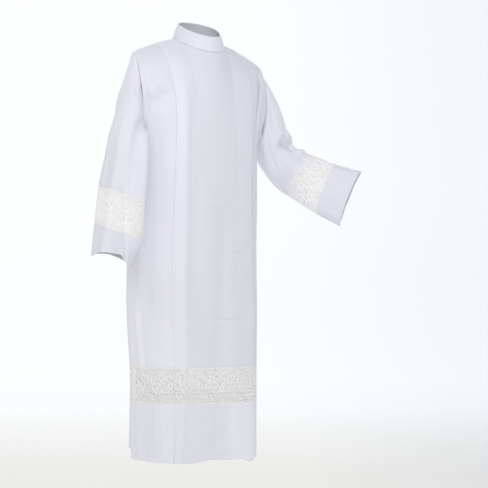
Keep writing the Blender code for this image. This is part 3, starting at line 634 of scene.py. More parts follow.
def body_columns(back):
    """The columns of the front or the back, from the right side as worn to the left."""
    made = flat_columns([0.0], True)
    for left in (False, True):
        if back:
            half = flat_columns(np.linspace(0.0, SHOULDER_ANGLE, BACK_COLUMNS + 1)[1:], left)
        else:
            first, last = LEFT_PLEAT_AT_TOP if left else RIGHT_PLEAT_AT_TOP
            high, low = (LEFT_GROOVE, 0.0) if left else (0.0, RIGHT_GROOVE)
            within = np.linspace(0.0, first - 1.0, MIDDLE_COLUMNS + 1)[1:]
            beyond = np.linspace(last + 1.5, SHOULDER_ANGLE, BEYOND_COLUMNS)
            half = flat_columns([*within, first - 0.5], left) + pleat_columns(left)
            half += [Column(last + 0.35, high, low, 0.0, left)]
            half += flat_columns([last + 0.8, *beyond], left)
        half += flat_columns(near_edges(SHOULDER_ANGLE, SIDE_ANGLE, SIDE_COLUMNS), left)
        made = made + half if left else half[::-1] + made
    return made


def body_grid(back, shares, heights, columns):
    """Outer points of the body's front or back, and each point's angle, unpleated."""
    points, angles = [], []
    z = np.array([CHEST_LINE] * len(shares) + list(heights))
    for column in columns:
        side = 1.0 if column.left else -1.0
        angle = side * below(column.at, z, column.left, back)
        if back:
            angle = side * 180.0 - angle
        line = body(z, angle)
        if len(shares):
            line[: len(shares)] = yoke(side * column.at, angle[0], back, shares)
        points.append(line)
        angles.append(angle)
    points = np.swapaxes(np.array(points), 0, 1)
    if len(shares):
        points[: len(shares)] = eased(points[: len(shares)], shares, columns)
    return points, np.swapaxes(np.array(angles), 0, 1)


def eased(points, shares, columns):
    """The yoke, with the ridge smoothed out that starts where the neck meets the shoulder."""
    at = np.array([c.at if c.left else -c.at for c in columns])
    apart = at[None, :] - at[:, None]
    near = np.exp(-((apart / YOKE_EASE) ** 2)) * np.gradient(at)[None, :]
    total, first, second = near.sum(1), (near * apart).sum(1), (near * apart**2).sum(1)
    near = near * (second[:, None] - first[:, None] * apart) / (total * second - first**2)[:, None]
    share = np.asarray(shares)[:, None]
    part = smooth(share / 0.22) * smooth((1 - share) / 0.25) * smooth((54.0 - np.abs(at)) / 12.0)
    return points + (np.einsum("kj,ijc->ikc", near, points) - points) * part[..., None]


def grid_normals(points, closed=False):
    """Unit normals of a grid of points, outwards."""
    down = np.gradient(points, axis=0)
    if closed:
        across = (np.roll(points, -1, axis=1) - np.roll(points, 1, axis=1)) / 2
    else:
        across = np.gradient(points, axis=1)
    normal = unit(np.cross(across, down))
    outwards = ((points - points.mean(axis=1, keepdims=True)) * normal).sum()
    return normal if outwards > 0 else -normal


def crease_depth(angle, at, rows, metres):
    """How far creases and troughs move the cloth out along its normal."""
    total = np.zeros(np.broadcast(angle, at).shape)
    for c in rows:
        du, dv = wrapped(angle - c.from_angle) * metres, at - c.from_at
        eu, ev = wrapped(c.to_angle - c.from_angle) * metres, c.to_at - c.from_at
        length = math.hypot(eu, ev)
        along = (du * eu + dv * ev) / length**2
        off = (du * ev - dv * eu) / length - c.bow * (1 - (2 * along - 1) ** 2)
        ends = smooth((along + CREASE_PAST) / CREASE_FADE)
        ends = ends * smooth((1 + CREASE_PAST - along) / CREASE_FADE)
        if c.sharp:
            across = np.exp(-np.abs(off) / c.width)
        else:
            across = np.exp(-((off / c.width) ** 2))
        total = total + c.height * across * ends
    return total


def from_edges(points, closed):
    """Each point's distance, along the cloth, from the four edges of its grid."""
    down = run_along(points)
    far = np.full(down.shape, FAR)
    if closed:
        return down, down[-1:] - down, far, far
    across = run_along(points.swapaxes(0, 1)).T
    return down, down[-1:] - down, across, across[:, -1:] - across


def shell(name, outer, inner, material, closed=False):
    """One thin closed shell between two grids, with a map in metres along and down the cloth."""
    rows, count = outer.shape[:2]
    last = count if closed else count - 1
    corners = np.concatenate([outer.reshape(-1, 3), inner.reshape(-1, 3)])
    inside = rows * count
    faces, places = [], []
    middle = outer[rows // 2]
    across = run_along(np.concatenate([middle, middle[:1]]) if closed else middle)
    down = run_along(outer[:, count // 2])

    def add(*points):
        faces.append([skin * inside + i * count + k % count for skin, i, k in points])
        places.extend((across[k], -down[i]) for _, i, k in points)

    for i in range(rows - 1):
        for k in range(last):
            add((0, i, k), (0, i + 1, k), (0, i + 1, k + 1), (0, i, k + 1))
            add((1, i, k), (1, i, k + 1), (1, i + 1, k + 1), (1, i + 1, k))
    for k in range(last):
        add((0, 0, k + 1), (1, 0, k + 1), (1, 0, k), (0, 0, k))
        add((0, rows - 1, k), (1, rows - 1, k), (1, rows - 1, k + 1), (0, rows - 1, k + 1))
    if not closed:
        for i in range(rows - 1):
            add((0, i, 0), (1, i, 0), (1, i + 1, 0), (0, i + 1, 0))
            add((0, i + 1, last), (1, i + 1, last), (1, i, last), (0, i, last))
    return piece(name, corners, faces, material, places)


def in_scene(name, data):
    """A new object, linked into the scene."""
    made = bpy.data.objects.new(name, data)
    bpy.context.scene.collection.objects.link(made)
    return made


def piece(name, corners, faces, material, places=None, corner=40.0):
    """A finished mesh object in the scene, smooth, with its faces pointing out."""
    data = bpy.data.meshes.new(name)
    data.from_pydata([tuple(p) for p in corners], [], faces)
    if places is not None:
        data.uv_layers.new(name="cloth").data.foreach_set("uv", np.array(places, np.float32).ravel())
    mesh = bmesh.new()
    mesh.from_mesh(data)
    if mesh.calc_volume(signed=True) < 0:
        bmesh.ops.reverse_faces(mesh, faces=mesh.faces)
    mesh.to_mesh(data)
    mesh.free()
    data.materials.append(material)
    data.polygons.foreach_set("use_smooth", [True] * len(data.polygons))
    data.set_sharp_from_angle(angle=math.radians(corner))
    made = in_scene(name, data)
    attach(made, "root")
    return made


def mark(made, name, values):
    """Keeps a figure on a thin piece's outer points, and on the inner ones behind, for its finish."""
    attribute = made.data.attributes.new(name, "FLOAT", "POINT")
    attribute.data.foreach_set("value", np.tile(np.ravel(values), 2))
    return made


def dipped(points, normals, edges, closed):
    """Lowers the cloth beside its seams."""
    distances = from_edges(points, closed)
    dip = sum(np.exp(-((d / SEAM_WIDTH) ** 2)) for d, sewn in zip(distances, edges) if sewn)
    return points - normals * (SEAM_DIP * np.minimum(dip, 1.2))[..., None]


def pleated(points, normals, columns, rise):
    """Lifts the columns of the box pleats into folds."""
    across = unit(np.gradient(points, axis=1))
    z = points[..., 2]
    height = np.zeros(z.shape)
    for k, column in enumerate(columns):
        height[:, k] = (column.high * along_pleat("high", z[:, k], column.left)
                        + column.low * along_pleat("low", z[:, k], column.left))
    slide = np.array([c.slide for c in columns]) * PLEAT_OVERHANG
    below_chest = along_pleat("high", z, True) / LEFT_PLEAT[2].high
    return (points + normals * (height * rise[:, None])[..., None]
            + across * (slide * below_chest * rise[:, None])[..., None])


def single_columns(columns):
    """For each column, the one that its normal is read from: columns of a fold share a place."""
    picks, spread = [0], [0]
    for k in range(1, len(columns)):
        if columns[k].at != columns[k - 1].at or columns[k].left != columns[k - 1].left:
            picks.append(k)
        spread.append(len(picks) - 1)
    return picks, spread


def stitch_dip(away):
    """The groove that a line of stitches pulls into the cloth."""
    return STITCH_DIP * np.exp(-((away / STITCH_DIP_WIDTH) ** 2))


def turned_edge(above):
    """The doubled cloth of a turned edge stands out a little below its stitches."""
    return TURNED_RISE * smooth(-above / 0.0024) * smooth((above + HEM_STITCH) / 0.002)


def front_single_and_shade(angle, z):
    """How far the front is greyed, from the right pleat's inner edge to the left side: single cloth
    and painted shade.
    """
    inner = -along_pleat("inner", z, False)
    single_and_shade = smooth((angle - inner + 6.5) / (7.0 + 11.0 * smooth((z + 0.22) / 0.14)))
    outer = -along_pleat("outer", z, False)
    # Painted shade in the hollow of the chest beside the right pleat's outer edge
    yoke_shade = YOKE_PAINTED_SHADE * smooth(outer - angle) * smooth((z + 0.42) / 0.16)
    single_and_shade = np.maximum(single_and_shade, yoke_shade)
    # Painted shade across the hem band, from the right side to the middle
    hem = (0.3 + 0.65 * single_and_shade) * smooth((12.0 - angle) / 8.0)
    return np.where(z < BAND_BOTTOM + 0.001, hem, single_and_shade)


def sleeve_single_and_shade(angle, at, left):
    """How far a sleeve is greyed, as single cloth and as painted shade: the left cuff, and the outer
    side of the right long fold.
    """
    angle, at = np.broadcast_arrays(angle, at)
    if left:
        # The whole left cuff is greyed, as single cloth and as painted shade
        return CUFF_SINGLE_AND_SHADE * (at > LEFT_LACE[1] - 0.001)
    edge = np.interp(at, SINGLE_AND_SHADE_PLACES, SINGLE_AND_SHADE_ANGLES)
    fade = np.interp(at, (0.30, 0.44), (44.0, 3.0))
    outer = smooth((edge - angle) / fade) * smooth((angle + 30.0) / 60.0)
    return SLEEVE_SINGLE_AND_SHADE * outer * smooth((at - 0.10) / 0.22)


# The points, normals and distances from the stitches of the pieces that have a line of them
GRIDS = {}


def body_panel(name, back, shares, heights, thick, edges):
    """The body's front or back: its form, pleats, creases and seams, as a thin shell."""
    columns = body_columns(back)
    points, angles = body_grid(back, shares, heights, columns)
    picks, spread = single_columns(columns)
    normals = grid_normals(points[:, picks])[:, spread]
    at = points[..., 2].copy()
    above = at - HEM - HEM_STITCH
    depth = crease_depth(angles, at, BODY_CREASES, BODY_METRES)
    depth = depth - stitch_dip(above) + turned_edge(above)
    points = dipped(points + normals * depth[..., None], normals, edges, False)
    rise = np.concatenate([0.55 + 0.45 * smooth(np.asarray(shares) * 4), np.ones(len(heights))])
    if not back:
        points = pleated(points, normals, columns, rise)
        start, full, fall, end, height = HEM_RISE
        lift = height * smooth((angles - start) / (full - start))
        lift = lift * smooth((end - angles) / (end - fall))
        points[..., 2] += lift * np.clip((BAND_BOTTOM - at) / (BAND_BOTTOM - HEM), 0.0, 1.0) ** 1.5
        normals = grid_normals(points)
    GRIDS[name] = points, normals, above
    made = shell(name, points, points - normals * thick, cloth)
    return mark(made, "single_and_shade", np.zeros(at.shape) if back else front_single_and_shade(angles, at))


def armhole(turn):
    """The left armhole's seam, round from the shoulder by the front."""
    return armhole_point(turn * 2, False) if turn <= 0.5 else armhole_point(2 - turn * 2, True)


class Sleeve:
    """A sleeve's cloth: a surface through the armhole and the rings, with its folds."""

    def __init__(self, left):
        self.rows, self.folds, self.lace, self.creases = (
            (LEFT_SLEEVE, LEFT_FOLDS, LEFT_LACE, LEFT_CREASES) if left
            else (RIGHT_SLEEVE, RIGHT_FOLDS, RIGHT_LACE, RIGHT_CREASES))
        self.left = left
        self.turns = np.arange(SLEEVE_COLUMNS) / SLEEVE_COLUMNS
        side = np.array([1.0 if left else -1.0, 1.0, 1.0])
        rings = [np.array([armhole(t) for t in self.turns]) * side]
        for _, middle, outward, forward, reach in self.rows:
            rings.append(self.section(middle, outward, forward, reach))
        self.places = np.array([0.0] + [row[0] for row in self.rows])
        self.table = np.array(rings)
        self.end = self.rows[-1][0]

    def section(self, middle, outward, forward, reach):
        """One ring, from its outer edge by the front and the underside."""
        outward = unit(outward)
        forward = unit(np.array(forward) - outward * np.dot(forward, outward))
        outer, under, front, back = reach
        along, across = rounded(360.0 * self.turns, SLEEVE_SQUARENESS)
        out = along * np.where(along > 0, outer, under)
        fore = across * np.where(across > 0, front, back)
        return np.array(middle) + out[:, None] * outward + fore[:, None] * forward

    def rings(self, at):
        """Rings of outer points at places along the sleeve."""
        at = np.asarray(at, float)
        rings = through(self.places, self.table, at)
        angle = 360.0 * self.turns[None, :]
        place = at[:, None]
        depth = 0.0
        for middle, width, height, centre, length in self.folds:
            near = np.exp(-((wrapped(angle - middle) / width) ** 2))
            depth = depth + height * near * np.exp(-(((place - centre) / length) ** 2))
        depth = depth * smooth(place / 0.05)
        return rings + unit(rings - rings.mean(axis=1, keepdims=True)) * depth[..., None]

    def creased(self, at):
        """Rings with the creases laid on, and their normals."""
        rings = self.rings(at)
        normals = grid_normals(rings, closed=True)
        angle = 360.0 * self.turns[None, :]
        depth = crease_depth(angle, np.asarray(at)[:, None], self.creases, SLEEVE_METRES)
        return rings + normals * depth[..., None], normals

    def points(self, at, turn):
        """Points at places along the sleeve and part of the way (0 to 1) round it."""
        near = 0.004
        places = np.linspace(max(at.min() - near, 0.0), min(at.max() + near, self.end), 60)
        grid, _ = self.creased(places)
        row = np.interp(at, places, np.arange(len(places)))
        column = (turn % 1.0) * len(self.turns)
        i = np.minimum(row.astype(int), len(places) - 2)
        k = column.astype(int) % len(self.turns)
        n = (k + 1) % len(self.turns)
        s, t = (row - i)[..., None], (column - np.floor(column))[..., None]
        return (
            (grid[i, k] * (1 - t) + grid[i, n] * t) * (1 - s)
            + (grid[i + 1, k] * (1 - t) + grid[i + 1, n] * t) * s
        )


def sleeve_tube(name, sleeve):
    """The plain cloth of a sleeve, from the armhole to the lace, as a thin tube."""
    places = gathered(0.0, sleeve.lace[0], 60)
    points, normals = sleeve.creased(places)
    points = dipped(points, normals, (True, True, False, False), True)
    made = shell(name, points, points - normals * CLOTH, cloth, closed=True)
    single_and_shade = sleeve_single_and_shade(360.0 * sleeve.turns[None, :], places[:, None], sleeve.left)
    return mark(made, "single_and_shade", single_and_shade)


def cuff(name, sleeve, rim):
    """The band below a sleeve's lace, whose edge hangs unevenly."""
    start, turns = sleeve.lace[1], np.arange(CUFF_COLUMNS) / CUFF_COLUMNS
    angles, ends = zip(*rim)
    end = np.interp(360.0 * turns, angles + (360.0,), ends + ends[:1])
    end = sum(np.roll(end, shift) for shift in (0, 1, -1, 2, -2)) / 5
    down = np.concatenate([SEAM_ROWS, np.linspace(0.006, 0.070, 16)]) / CUFF_DEPTH
    at = [start + (end - start) * share for share in down if share < 0.55]
    at = np.array(at + [end - away for away in CUFF_EDGE])
    points = sleeve.points(at, np.broadcast_to(turns, at.shape))
    normals = grid_normals(points, closed=True)
    away = end[None, :] - at - CUFF_STITCH
    depth = turned_edge(away) - stitch_dip(away)
    points = dipped(points + normals * depth[..., None], normals, (True, False, False, False), True)
    GRIDS[name] = points, normals, away
    made = shell(name, points, points - normals * HEM_CLOTH, cloth, closed=True)
    return mark(made, "single_and_shade", sleeve_single_and_shade(360.0 * turns[None, :], at, sleeve.left))


def gathered(first, last, count, fine=0.0012):
    """Places from first to last that gather towards both ends, where the seams are."""
    even = np.linspace(first, last, count + 1)
    step = math.copysign(fine, last - first)
    return np.concatenate([[first, first + step, first + 2 * step, first + 3.5 * step],
                           even[1:-1],
                           [last - 3.5 * step, last - 2 * step, last - step, last]])


# ---- finishes

class Number:
    """A number that varies over a finish; sums and products of it add Math nodes."""

    def __init__(self, finish, socket):
        self.finish, self.socket = finish, socket

    def math(self, operation, *values):
        """The result of one operation on numbers."""
        return self.finish.node("ShaderNodeMath", {"operation": operation}, dict(enumerate(values)))

    def held(self, low, high):
        """The number, kept between two others."""
        return self.math("MAXIMUM", self.math("MINIMUM", self, high), low)

    def __add__(self, other):
        return self.math("ADD", self, other)

    __radd__ = __add__

    def __mul__(self, other):
        return self.math("MULTIPLY", self, other)

    __rmul__ = __mul__

    def __sub__(self, other):
        return self.math("SUBTRACT", self, other)

    def __rsub__(self, other):
        return self.math("SUBTRACT", other, self)


class Finish:
    """A material on the Principled shader."""

    def __init__(self, name, **constants):
        self.material = bpy.data.materials.new(name)
        self.material.use_nodes = True
        self.tree = self.material.node_tree
        self.shader = self.tree.nodes["Principled BSDF"]
        for socket, value in constants.items():
            self.shader.inputs[socket.replace("_", " ")].default_value = value

    def node(self, kind, settings, sockets, output=0):
        """Any node: its type, its settings, then the values or links of its sockets."""
        made = self.tree.nodes.new(kind)
        for key, value in settings.items():
            setattr(made, key, value)
        for key, value in sockets.items():
            self.feed(made.inputs[key], value)
        return Number(self, made.outputs[output])

    def feed(self, socket, value):
        """Gives a socket a link or a constant."""
        if isinstance(value, Number):
            self.tree.links.new(value.socket, socket)
        else:
            socket.default_value = value

    def set(self, socket, value):
        """Gives one of the shader's own sockets a link or a constant."""
        self.feed(self.shader.inputs[socket], value)

    def place(self):
        """Where a point is on the object."""
        return self.node("ShaderNodeTexCoord", {}, {}, "Object")

    def cloth(self):
        """Where a point is on its flat cloth, in metres along and down."""
        return self.node("ShaderNodeUVMap", {"uv_map": "cloth"}, {})

    def marked(self, name):
        """A figure kept on the piece's points: its third output is the plain number."""
        return self.node("ShaderNodeAttribute", {"attribute_name": name}, {}, 2)

    def apart(self, vector):
        """The first two parts of a vector."""
        first = self.node("ShaderNodeSeparateXYZ", {}, {0: vector})
        return first, Number(self, first.socket.node.outputs[1])

    def noise(self, where, scale, detail, stretch, rough):
        """Soft unevenness, drawn out where its stretch is below 1."""
        placed = self.node("ShaderNodeMapping", {}, {"Vector": where, "Scale": stretch})
        sockets = {"Vector": placed, "Scale": scale, "Detail": detail, "Roughness": rough}
        return self.node("ShaderNodeTexNoise", {}, sockets)

    def mix(self, share, first, second):
        """A colour between two others; 6, 7 and 2 are the node's sockets for colours."""
        return self.node("ShaderNodeMix", {"data_type": "RGBA"}, {0: share, 6: first, 7: second}, 2)

    def bump(self, height, strength, distance, normal=None):
        """A small relief, laid on another one if there is one below it."""
        sockets = {"Height": height, "Strength": strength, "Distance": distance}
        if normal is not None:
            sockets["Normal"] = normal
        return self.node("ShaderNodeBump", {}, sockets)


def cloth_finish():
    """White polyester: a fine even weave, faint sheen, a slightly uneven surface, and painted shade in
    grey where the piece is marked.
    """
    finish = Finish("white_cloth_woven", Roughness=0.62, Sheen_Weight=0.18, Sheen_Roughness=0.45)
    place = finish.place()
    across, down = finish.apart(finish.cloth())
    turn = 2 * math.pi / WEAVE_PITCH
    weave = across.math("SINE", across * turn) * down.math("SINE", down * turn)
    slow = finish.noise(place, scale=5.0, detail=2.0, stretch=(1.0, 1.0, 0.35), rough=0.5)
    crumple = finish.noise(place, scale=26.0, detail=3.0, stretch=(1.0, 1.0, 0.45), rough=0.55)
    plain_tone = finish.mix(slow, (0.800, 0.798, 0.876, 1.0), (0.828, 0.828, 0.900, 1.0))
    # Marked places turn grey: partly single cloth, partly painted shade
    finish.set("Base Color", finish.mix(finish.marked("single_and_shade"), plain_tone, (0.742, 0.746, 0.812, 1.0)))
    finish.set("Roughness", 0.56 + crumple * 0.12)
    soft = finish.bump(crumple, strength=0.25, distance=0.004)
    finish.set("Normal", finish.bump(weave, strength=0.12, distance=0.0002, normal=soft))
    return finish.material


def lace_finish(name, net, shade, light):
    """Off-white lace: matt, with raised cords on a finer net painted darker, as shade seen through its
    holes, and threads across both.
    """
    finish = Finish(name, Roughness=0.82, Sheen_Weight=0.12)
    thread = finish.node("ShaderNodeTexWave", {"wave_type": "BANDS", "bands_direction": "DIAGONAL"},
                         {"Vector": finish.cloth(), "Scale": 420.0, "Distortion": 3.0, "Detail": 1.0})
    uneven = finish.noise(finish.place(), scale=110.0, detail=4.0, stretch=(1.0, 1.0, 1.0), rough=0.6)
    cord = finish.marked("cord")
    mottled = ((uneven - 0.5) * 2.4 + 0.5).held(0.0, 1.0)
    # The net's darker colour is painted shade, as seen through its small holes
    on_net, on_cords = finish.mix(mottled, net, shade), finish.mix(uneven, shade, light)
    finish.set("Base Color", finish.mix(cord, on_net, on_cords))
    finish.set("Roughness", 0.74 + thread * 0.16)
    raised = finish.bump(cord, strength=0.5, distance=0.0006)
    finish.set("Normal", finish.bump(thread, strength=0.35, distance=0.0003, normal=raised))
    return finish.material


def thread_finish():
    """Sewing thread: white, twisted, slightly glossy."""
    finish = Finish("white_thread", Roughness=0.5)
    twist = finish.node("ShaderNodeTexWave", {"bands_direction": "DIAGONAL"},
                        {"Vector": finish.place(), "Scale": 900.0})
    finish.set("Base Color", finish.mix(twist, (0.80, 0.80, 0.84, 1.0), (0.88, 0.88, 0.92, 1.0)))
    finish.set("Normal", finish.bump(twist, strength=0.5, distance=0.0002))
    return finish.material


cloth = cloth_finish()
# Each lace's net is painted darker than its cords: painted shade seen through the net's holes
skirt_lace_cloth = lace_finish(
    "skirt_lace_thread", net=(0.815, 0.822, 0.812, 1.0), shade=(0.895, 0.900, 0.890, 1.0),
    light=(0.945, 0.950, 0.945, 1.0))
sleeve_lace_cloth = lace_finish(
    "sleeve_lace_thread", net=(0.860, 0.862, 0.860, 1.0), shade=(0.950, 0.950, 0.945, 1.0),
    light=(0.990, 0.990, 0.990, 1.0))
thread = thread_finish()


# ---- lace

def leaf(middle_u, middle_v, turn, length, width):
    """The outline of a leaf, as a closed line in the flat lace."""
    along = np.linspace(0.0, 2 * math.pi, 28, endpoint=False)
    u = 0.5 * length * np.cos(along)
    v = 0.5 * width * np.sin(along) * (1.0 - 0.25 * np.cos(along)) * np.abs(np.sin(along)) ** 0.3
    c, s = math.cos(math.radians(turn)), math.sin(math.radians(turn))
    return np.stack([middle_u + u * c - v * s, middle_v + u * s + v * c], axis=1)


def scroll(middle_u, middle_v, start, turns, first, last):
    """A spiral of a scroll, from its outer radius to its inner one."""
    t = np.linspace(0.0, 1.0, 60)
    radius = first + (last - first) * t
    angle = np.radians(start + 360.0 * turns * t)
    return np.stack([middle_u + radius * np.cos(angle), middle_v + radius * np.sin(angle)], axis=1)


def lace_lines(height):
    """The cords of one repeat: a five-petalled flower, scrolls and leaves."""
    step = LACE_REPEAT
    middle = 0.5 * step
    lines = []
    for k in range(5):
        angle = 90.0 + 72.0 * k
        c, s = math.cos(math.radians(angle)), math.sin(math.radians(angle))
        u, v = middle + 0.175 * height * c, (0.5 + 0.175 * s) * height
        lines.append(leaf(u, v, angle, length=0.21 * height, width=0.125 * height))
    for way in (-1.0, 1.0):
        u, v = middle - 0.36 * step, (0.51 + way * 0.235) * height
        lines.append(leaf(u, v, -way * 60.0, length=0.23 * height, width=0.10 * height))
        u, v = middle + 0.36 * step, (0.5 + way * 0.29) * height
        lines.append(scroll(u, v, start=way * -90.0, turns=way * 1.15,
                            first=0.105 * height, last=0.02 * height))
    lines.append(leaf(middle + 0.37 * step, 0.50 * height, 90.0,
                      length=0.20 * height, width=0.09 * height))
    return lines


def away_from(u, v, point):
    """The distance of each flat place from a point that repeats along the band."""
    du = np.abs(u - point[0]) % LACE_REPEAT
    return np.hypot(np.minimum(du, LACE_REPEAT - du), v - point[1])


def from_cords(u, v, height):
    """The distance of each flat place from the nearest cord."""
    best = np.full(u.shape, FAR)
    for point in np.concatenate(lace_lines(height)):
        best = np.minimum(best, away_from(u, v, point))
    return best


def lace_field(height, gap_half):
    """A figure above zero in the gaps of one repeat, on a fine grid: rows down, columns along."""
    along = np.arange(0.0, LACE_REPEAT - 1e-9, LACE_CELL)
    down = np.arange(0.0, height + 1e-9, LACE_CELL)
    u, v = np.meshgrid(along, down)
    past = from_cords(u, v, height) - CORD_HALF - gap_half
    gap = gap_half - np.abs((past + CORD_STEP / 2) % CORD_STEP - CORD_STEP / 2)
    gap = np.where(past < -gap_half, past + gap_half, gap)
    chance = np.random.default_rng(4)
    columns, rows = round(LACE_REPEAT / BAR_STEP), round(height / BAR_STEP)
    first, second = np.full(u.shape, FAR), np.full(u.shape, FAR)
    for i in range(rows):
        for k in range(columns):
            shift = 0.5 * (i % 2) + chance.uniform(-0.22, 0.22)
            seed = ((k + shift) * LACE_REPEAT / columns % LACE_REPEAT,
                    (i + 0.5 + chance.uniform(-0.2, 0.2)) * height / rows)
            away = away_from(u, v, seed)
            second = np.minimum(second, np.maximum(first, away))
            first = np.minimum(first, away)
    bar = (second - first) / 2 - BAR_HALF
    rim = np.minimum(v, height - v) - LACE_RIM
    return np.minimum(np.minimum(gap, bar), rim)


def gap_loops(field):
    """The closed outlines of the gaps, where the field crosses zero; it repeats along."""
    columns = field.shape[1]

    def crossing(a, b):
        """A point on the grid edge between two cells' corners, as a key and a place."""
        (i, k), (j, m) = a, b
        fa, fb = field[i, k % columns], field[j, m % columns]
        t = fa / (fa - fb)
        place = ((k + (m - k) * t) * LACE_CELL, (i + (j - i) * t) * LACE_CELL)
        return (min(a, b), max(a, b)), place

    inside = field > 0
    beside = np.roll(inside, -1, 1)
    in_all = inside[:-1] & beside[:-1] & beside[1:] & inside[1:]
    in_some = inside[:-1] | beside[:-1] | beside[1:] | inside[1:]
    following, places = {}, {}
    for i, k in zip(*np.nonzero(in_some & ~in_all)):
        corners = [(i, k), (i, k + 1), (i + 1, k + 1), (i + 1, k)]
        flags = [inside[r, c % columns] for r, c in corners]
        cuts = []
        for e in range(4):
            if flags[e] != flags[(e + 1) % 4]:
                cuts.append((*crossing(corners[e], corners[(e + 1) % 4]), flags[e]))
        starts = [c for c in cuts if c[2]]
        ends = [c for c in cuts if not c[2]]
        if len(starts) == 2:
            order = [c[0] for c in cuts]
            pairs = [(starts[0], ends[0]), (starts[1], ends[1])]
            if order.index(starts[0][0]) > order.index(ends[0][0]):
                pairs = [(starts[0], ends[1]), (starts[1], ends[0])]
        else:
            pairs = [(starts[0], ends[0])]
        for start, end in pairs:
            head, tail = wrap_key(start[0], columns), wrap_key(end[0], columns)
            following[head] = tail
            places[head], places[tail] = start[1], end[1]
    loops = []
    period = columns * LACE_CELL
    while following:
        key, after = following.popitem()
        loop = [places[key]]
        last = places[key]
        while after != key:
            u, v = places[after]
            u += period * round((last[0] - u) / period)
            last = (u, v)
            loop.append(last)
            if after not in following:
                break
            after = following.pop(after)
        loops.append(np.array(loop))
    return loops


def wrap_key(key, columns):
    """A grid edge's key with its columns brought back into one repeat."""
    (i, k), (j, m) = key
    shift = (min(k, m) // columns) * columns
    return (i, k - shift), (j, m - shift)


def lighter(loop):
    """A gap's closed outline with fewer points, or nothing if the gap is tiny."""
    closed = np.concatenate([loop, loop[:1]])
    run = run_along(closed)
    u, v = closed[:, 0], closed[:, 1]
    area = abs(np.dot(u[:-1], v[1:]) - np.dot(u[1:], v[:-1])) / 2
    if area < SMALLEST_GAP:
        return None
    count = max(6, round(run[-1] / GAP_POINTS))
    at = np.arange(count) * run[-1] / count
    return np.stack([np.interp(at, run, u), np.interp(at, run, v)], axis=1)


def lace_repeat(height, gap_half):
    """The gaps of one repeat of lace."""
    loops = [lighter(loop) for loop in gap_loops(lace_field(height, gap_half))]
    return [loop for loop in loops if loop is not None]


def in_gap(points, loops):
    """Which flat points lie within a gap."""
    hit = np.zeros(len(points), bool)
    for loop in loops:
        low, high = loop.min(axis=0), loop.max(axis=0)
        near = np.nonzero(((points >= low) & (points <= high)).all(axis=1))[0]
        if not len(near):
            continue
        u, v = points[near, 0], points[near, 1]
        odd = np.zeros(len(near), bool)
        for (u0, v0), (u1, v1) in zip(loop, np.roll(loop, -1, axis=0)):
            if v0 == v1:
                continue
            crosses = ((v0 > v) != (v1 > v)) & (u < (u1 - u0) * (v - v0) / (v1 - v0) + u0)
            odd ^= crosses
        hit[near[odd]] = True
    return hit


def repeats_in(width):
    """How many repeats a band has, and how far each one is stretched to fill it."""
    count = round(width / LACE_REPEAT)
    return count, width / count / LACE_REPEAT


def lace_sheet(width, height, gap_half):
    """Flat points and triangles of a band, with every gap cut."""
    merge = 1e-7
    count, stretch = repeats_in(width)
    gaps = lace_repeat(height, gap_half)
    loops = []
    for k in range(-1, count + 1):
        for loop in gaps:
            moved = (loop + (k * LACE_REPEAT, 0.0)) * (stretch, 1.0)
            if moved[:, 0].min() > LACE_END and moved[:, 0].max() < width - LACE_END:
                loops.append(moved)
    points, edges = [], []

    def ring(corners):
        first = len(points)
        points.extend(map(tuple, corners))
        edges.extend((first + k, first + (k + 1) % len(corners)) for k in range(len(corners)))

    steps, tall = round(width / LACE_MESH), round(height / LACE_MESH)
    border = [(width * k / steps, 0.0) for k in range(steps)]
    border += [(width, height * k / tall) for k in range(tall)]
    border += [(width * k / steps, height) for k in range(steps, 0, -1)]
    border += [(0.0, height * k / tall) for k in range(tall, 0, -1)]
    ring(border)
    for loop in loops:
        ring(loop)
    extra = np.array([(width * (i + 0.5) / steps, height * (j + 0.5) / tall)
                      for i in range(steps) for j in range(tall)])
    points.extend(map(tuple, extra[~in_gap(extra, loops)]))
    flat, _, faces, _, _, _ = delaunay_2d_cdt([Vector(p) for p in points], edges, [], 0, merge)
    flat = np.array([tuple(p) for p in flat])
    faces = np.array([tuple(f) for f in faces])
    kept = ~in_gap(flat[faces].mean(axis=1), loops)
    return flat, faces[kept]


def lace_band(name, surface, width, height, gap_half, material):
    """A lace band laid on a surface that is read by how far along and how far down it is."""
    flat, faces = lace_sheet(width, height, gap_half)
    small = 0.0015
    points = surface(flat[:, 0], flat[:, 1])
    along = surface(flat[:, 0] + small, flat[:, 1]) - surface(flat[:, 0] - small, flat[:, 1])
    down = surface(flat[:, 0], flat[:, 1] + small) - surface(flat[:, 0], flat[:, 1] - small)
    normals = unit(np.cross(along, down))
    if ((points - points.mean(axis=0)) * normals).sum() < 0:
        normals = -normals
    corners = np.concatenate([points, points - normals * LACE_CLOTH])
    count = len(points)
    rims = {}
    for a, b, c in faces.tolist():
        for edge in ((a, b), (b, c), (c, a)):
            if edge[::-1] in rims:
                del rims[edge[::-1]]
            else:
                rims[edge] = True
    quads = [(b, a, a + count, b + count) for a, b in rims]
    inner = faces[:, ::-1] + count
    all_faces = faces.tolist() + inner.tolist() + quads
    order = np.concatenate([faces.ravel(), inner.ravel(), np.array(quads).ravel()]) % count
    made = piece(name, corners, all_faces, material, flat[order], 50.0)
    distance = from_cords(flat[:, 0] / repeats_in(width)[1], flat[:, 1], height)
    return mark(made, "cord", smooth((CORD_HALF + CORD_EDGE - distance) / CORD_FADE))


# ---- the pieces

left_sleeve, right_sleeve = Sleeve(True), Sleeve(False)

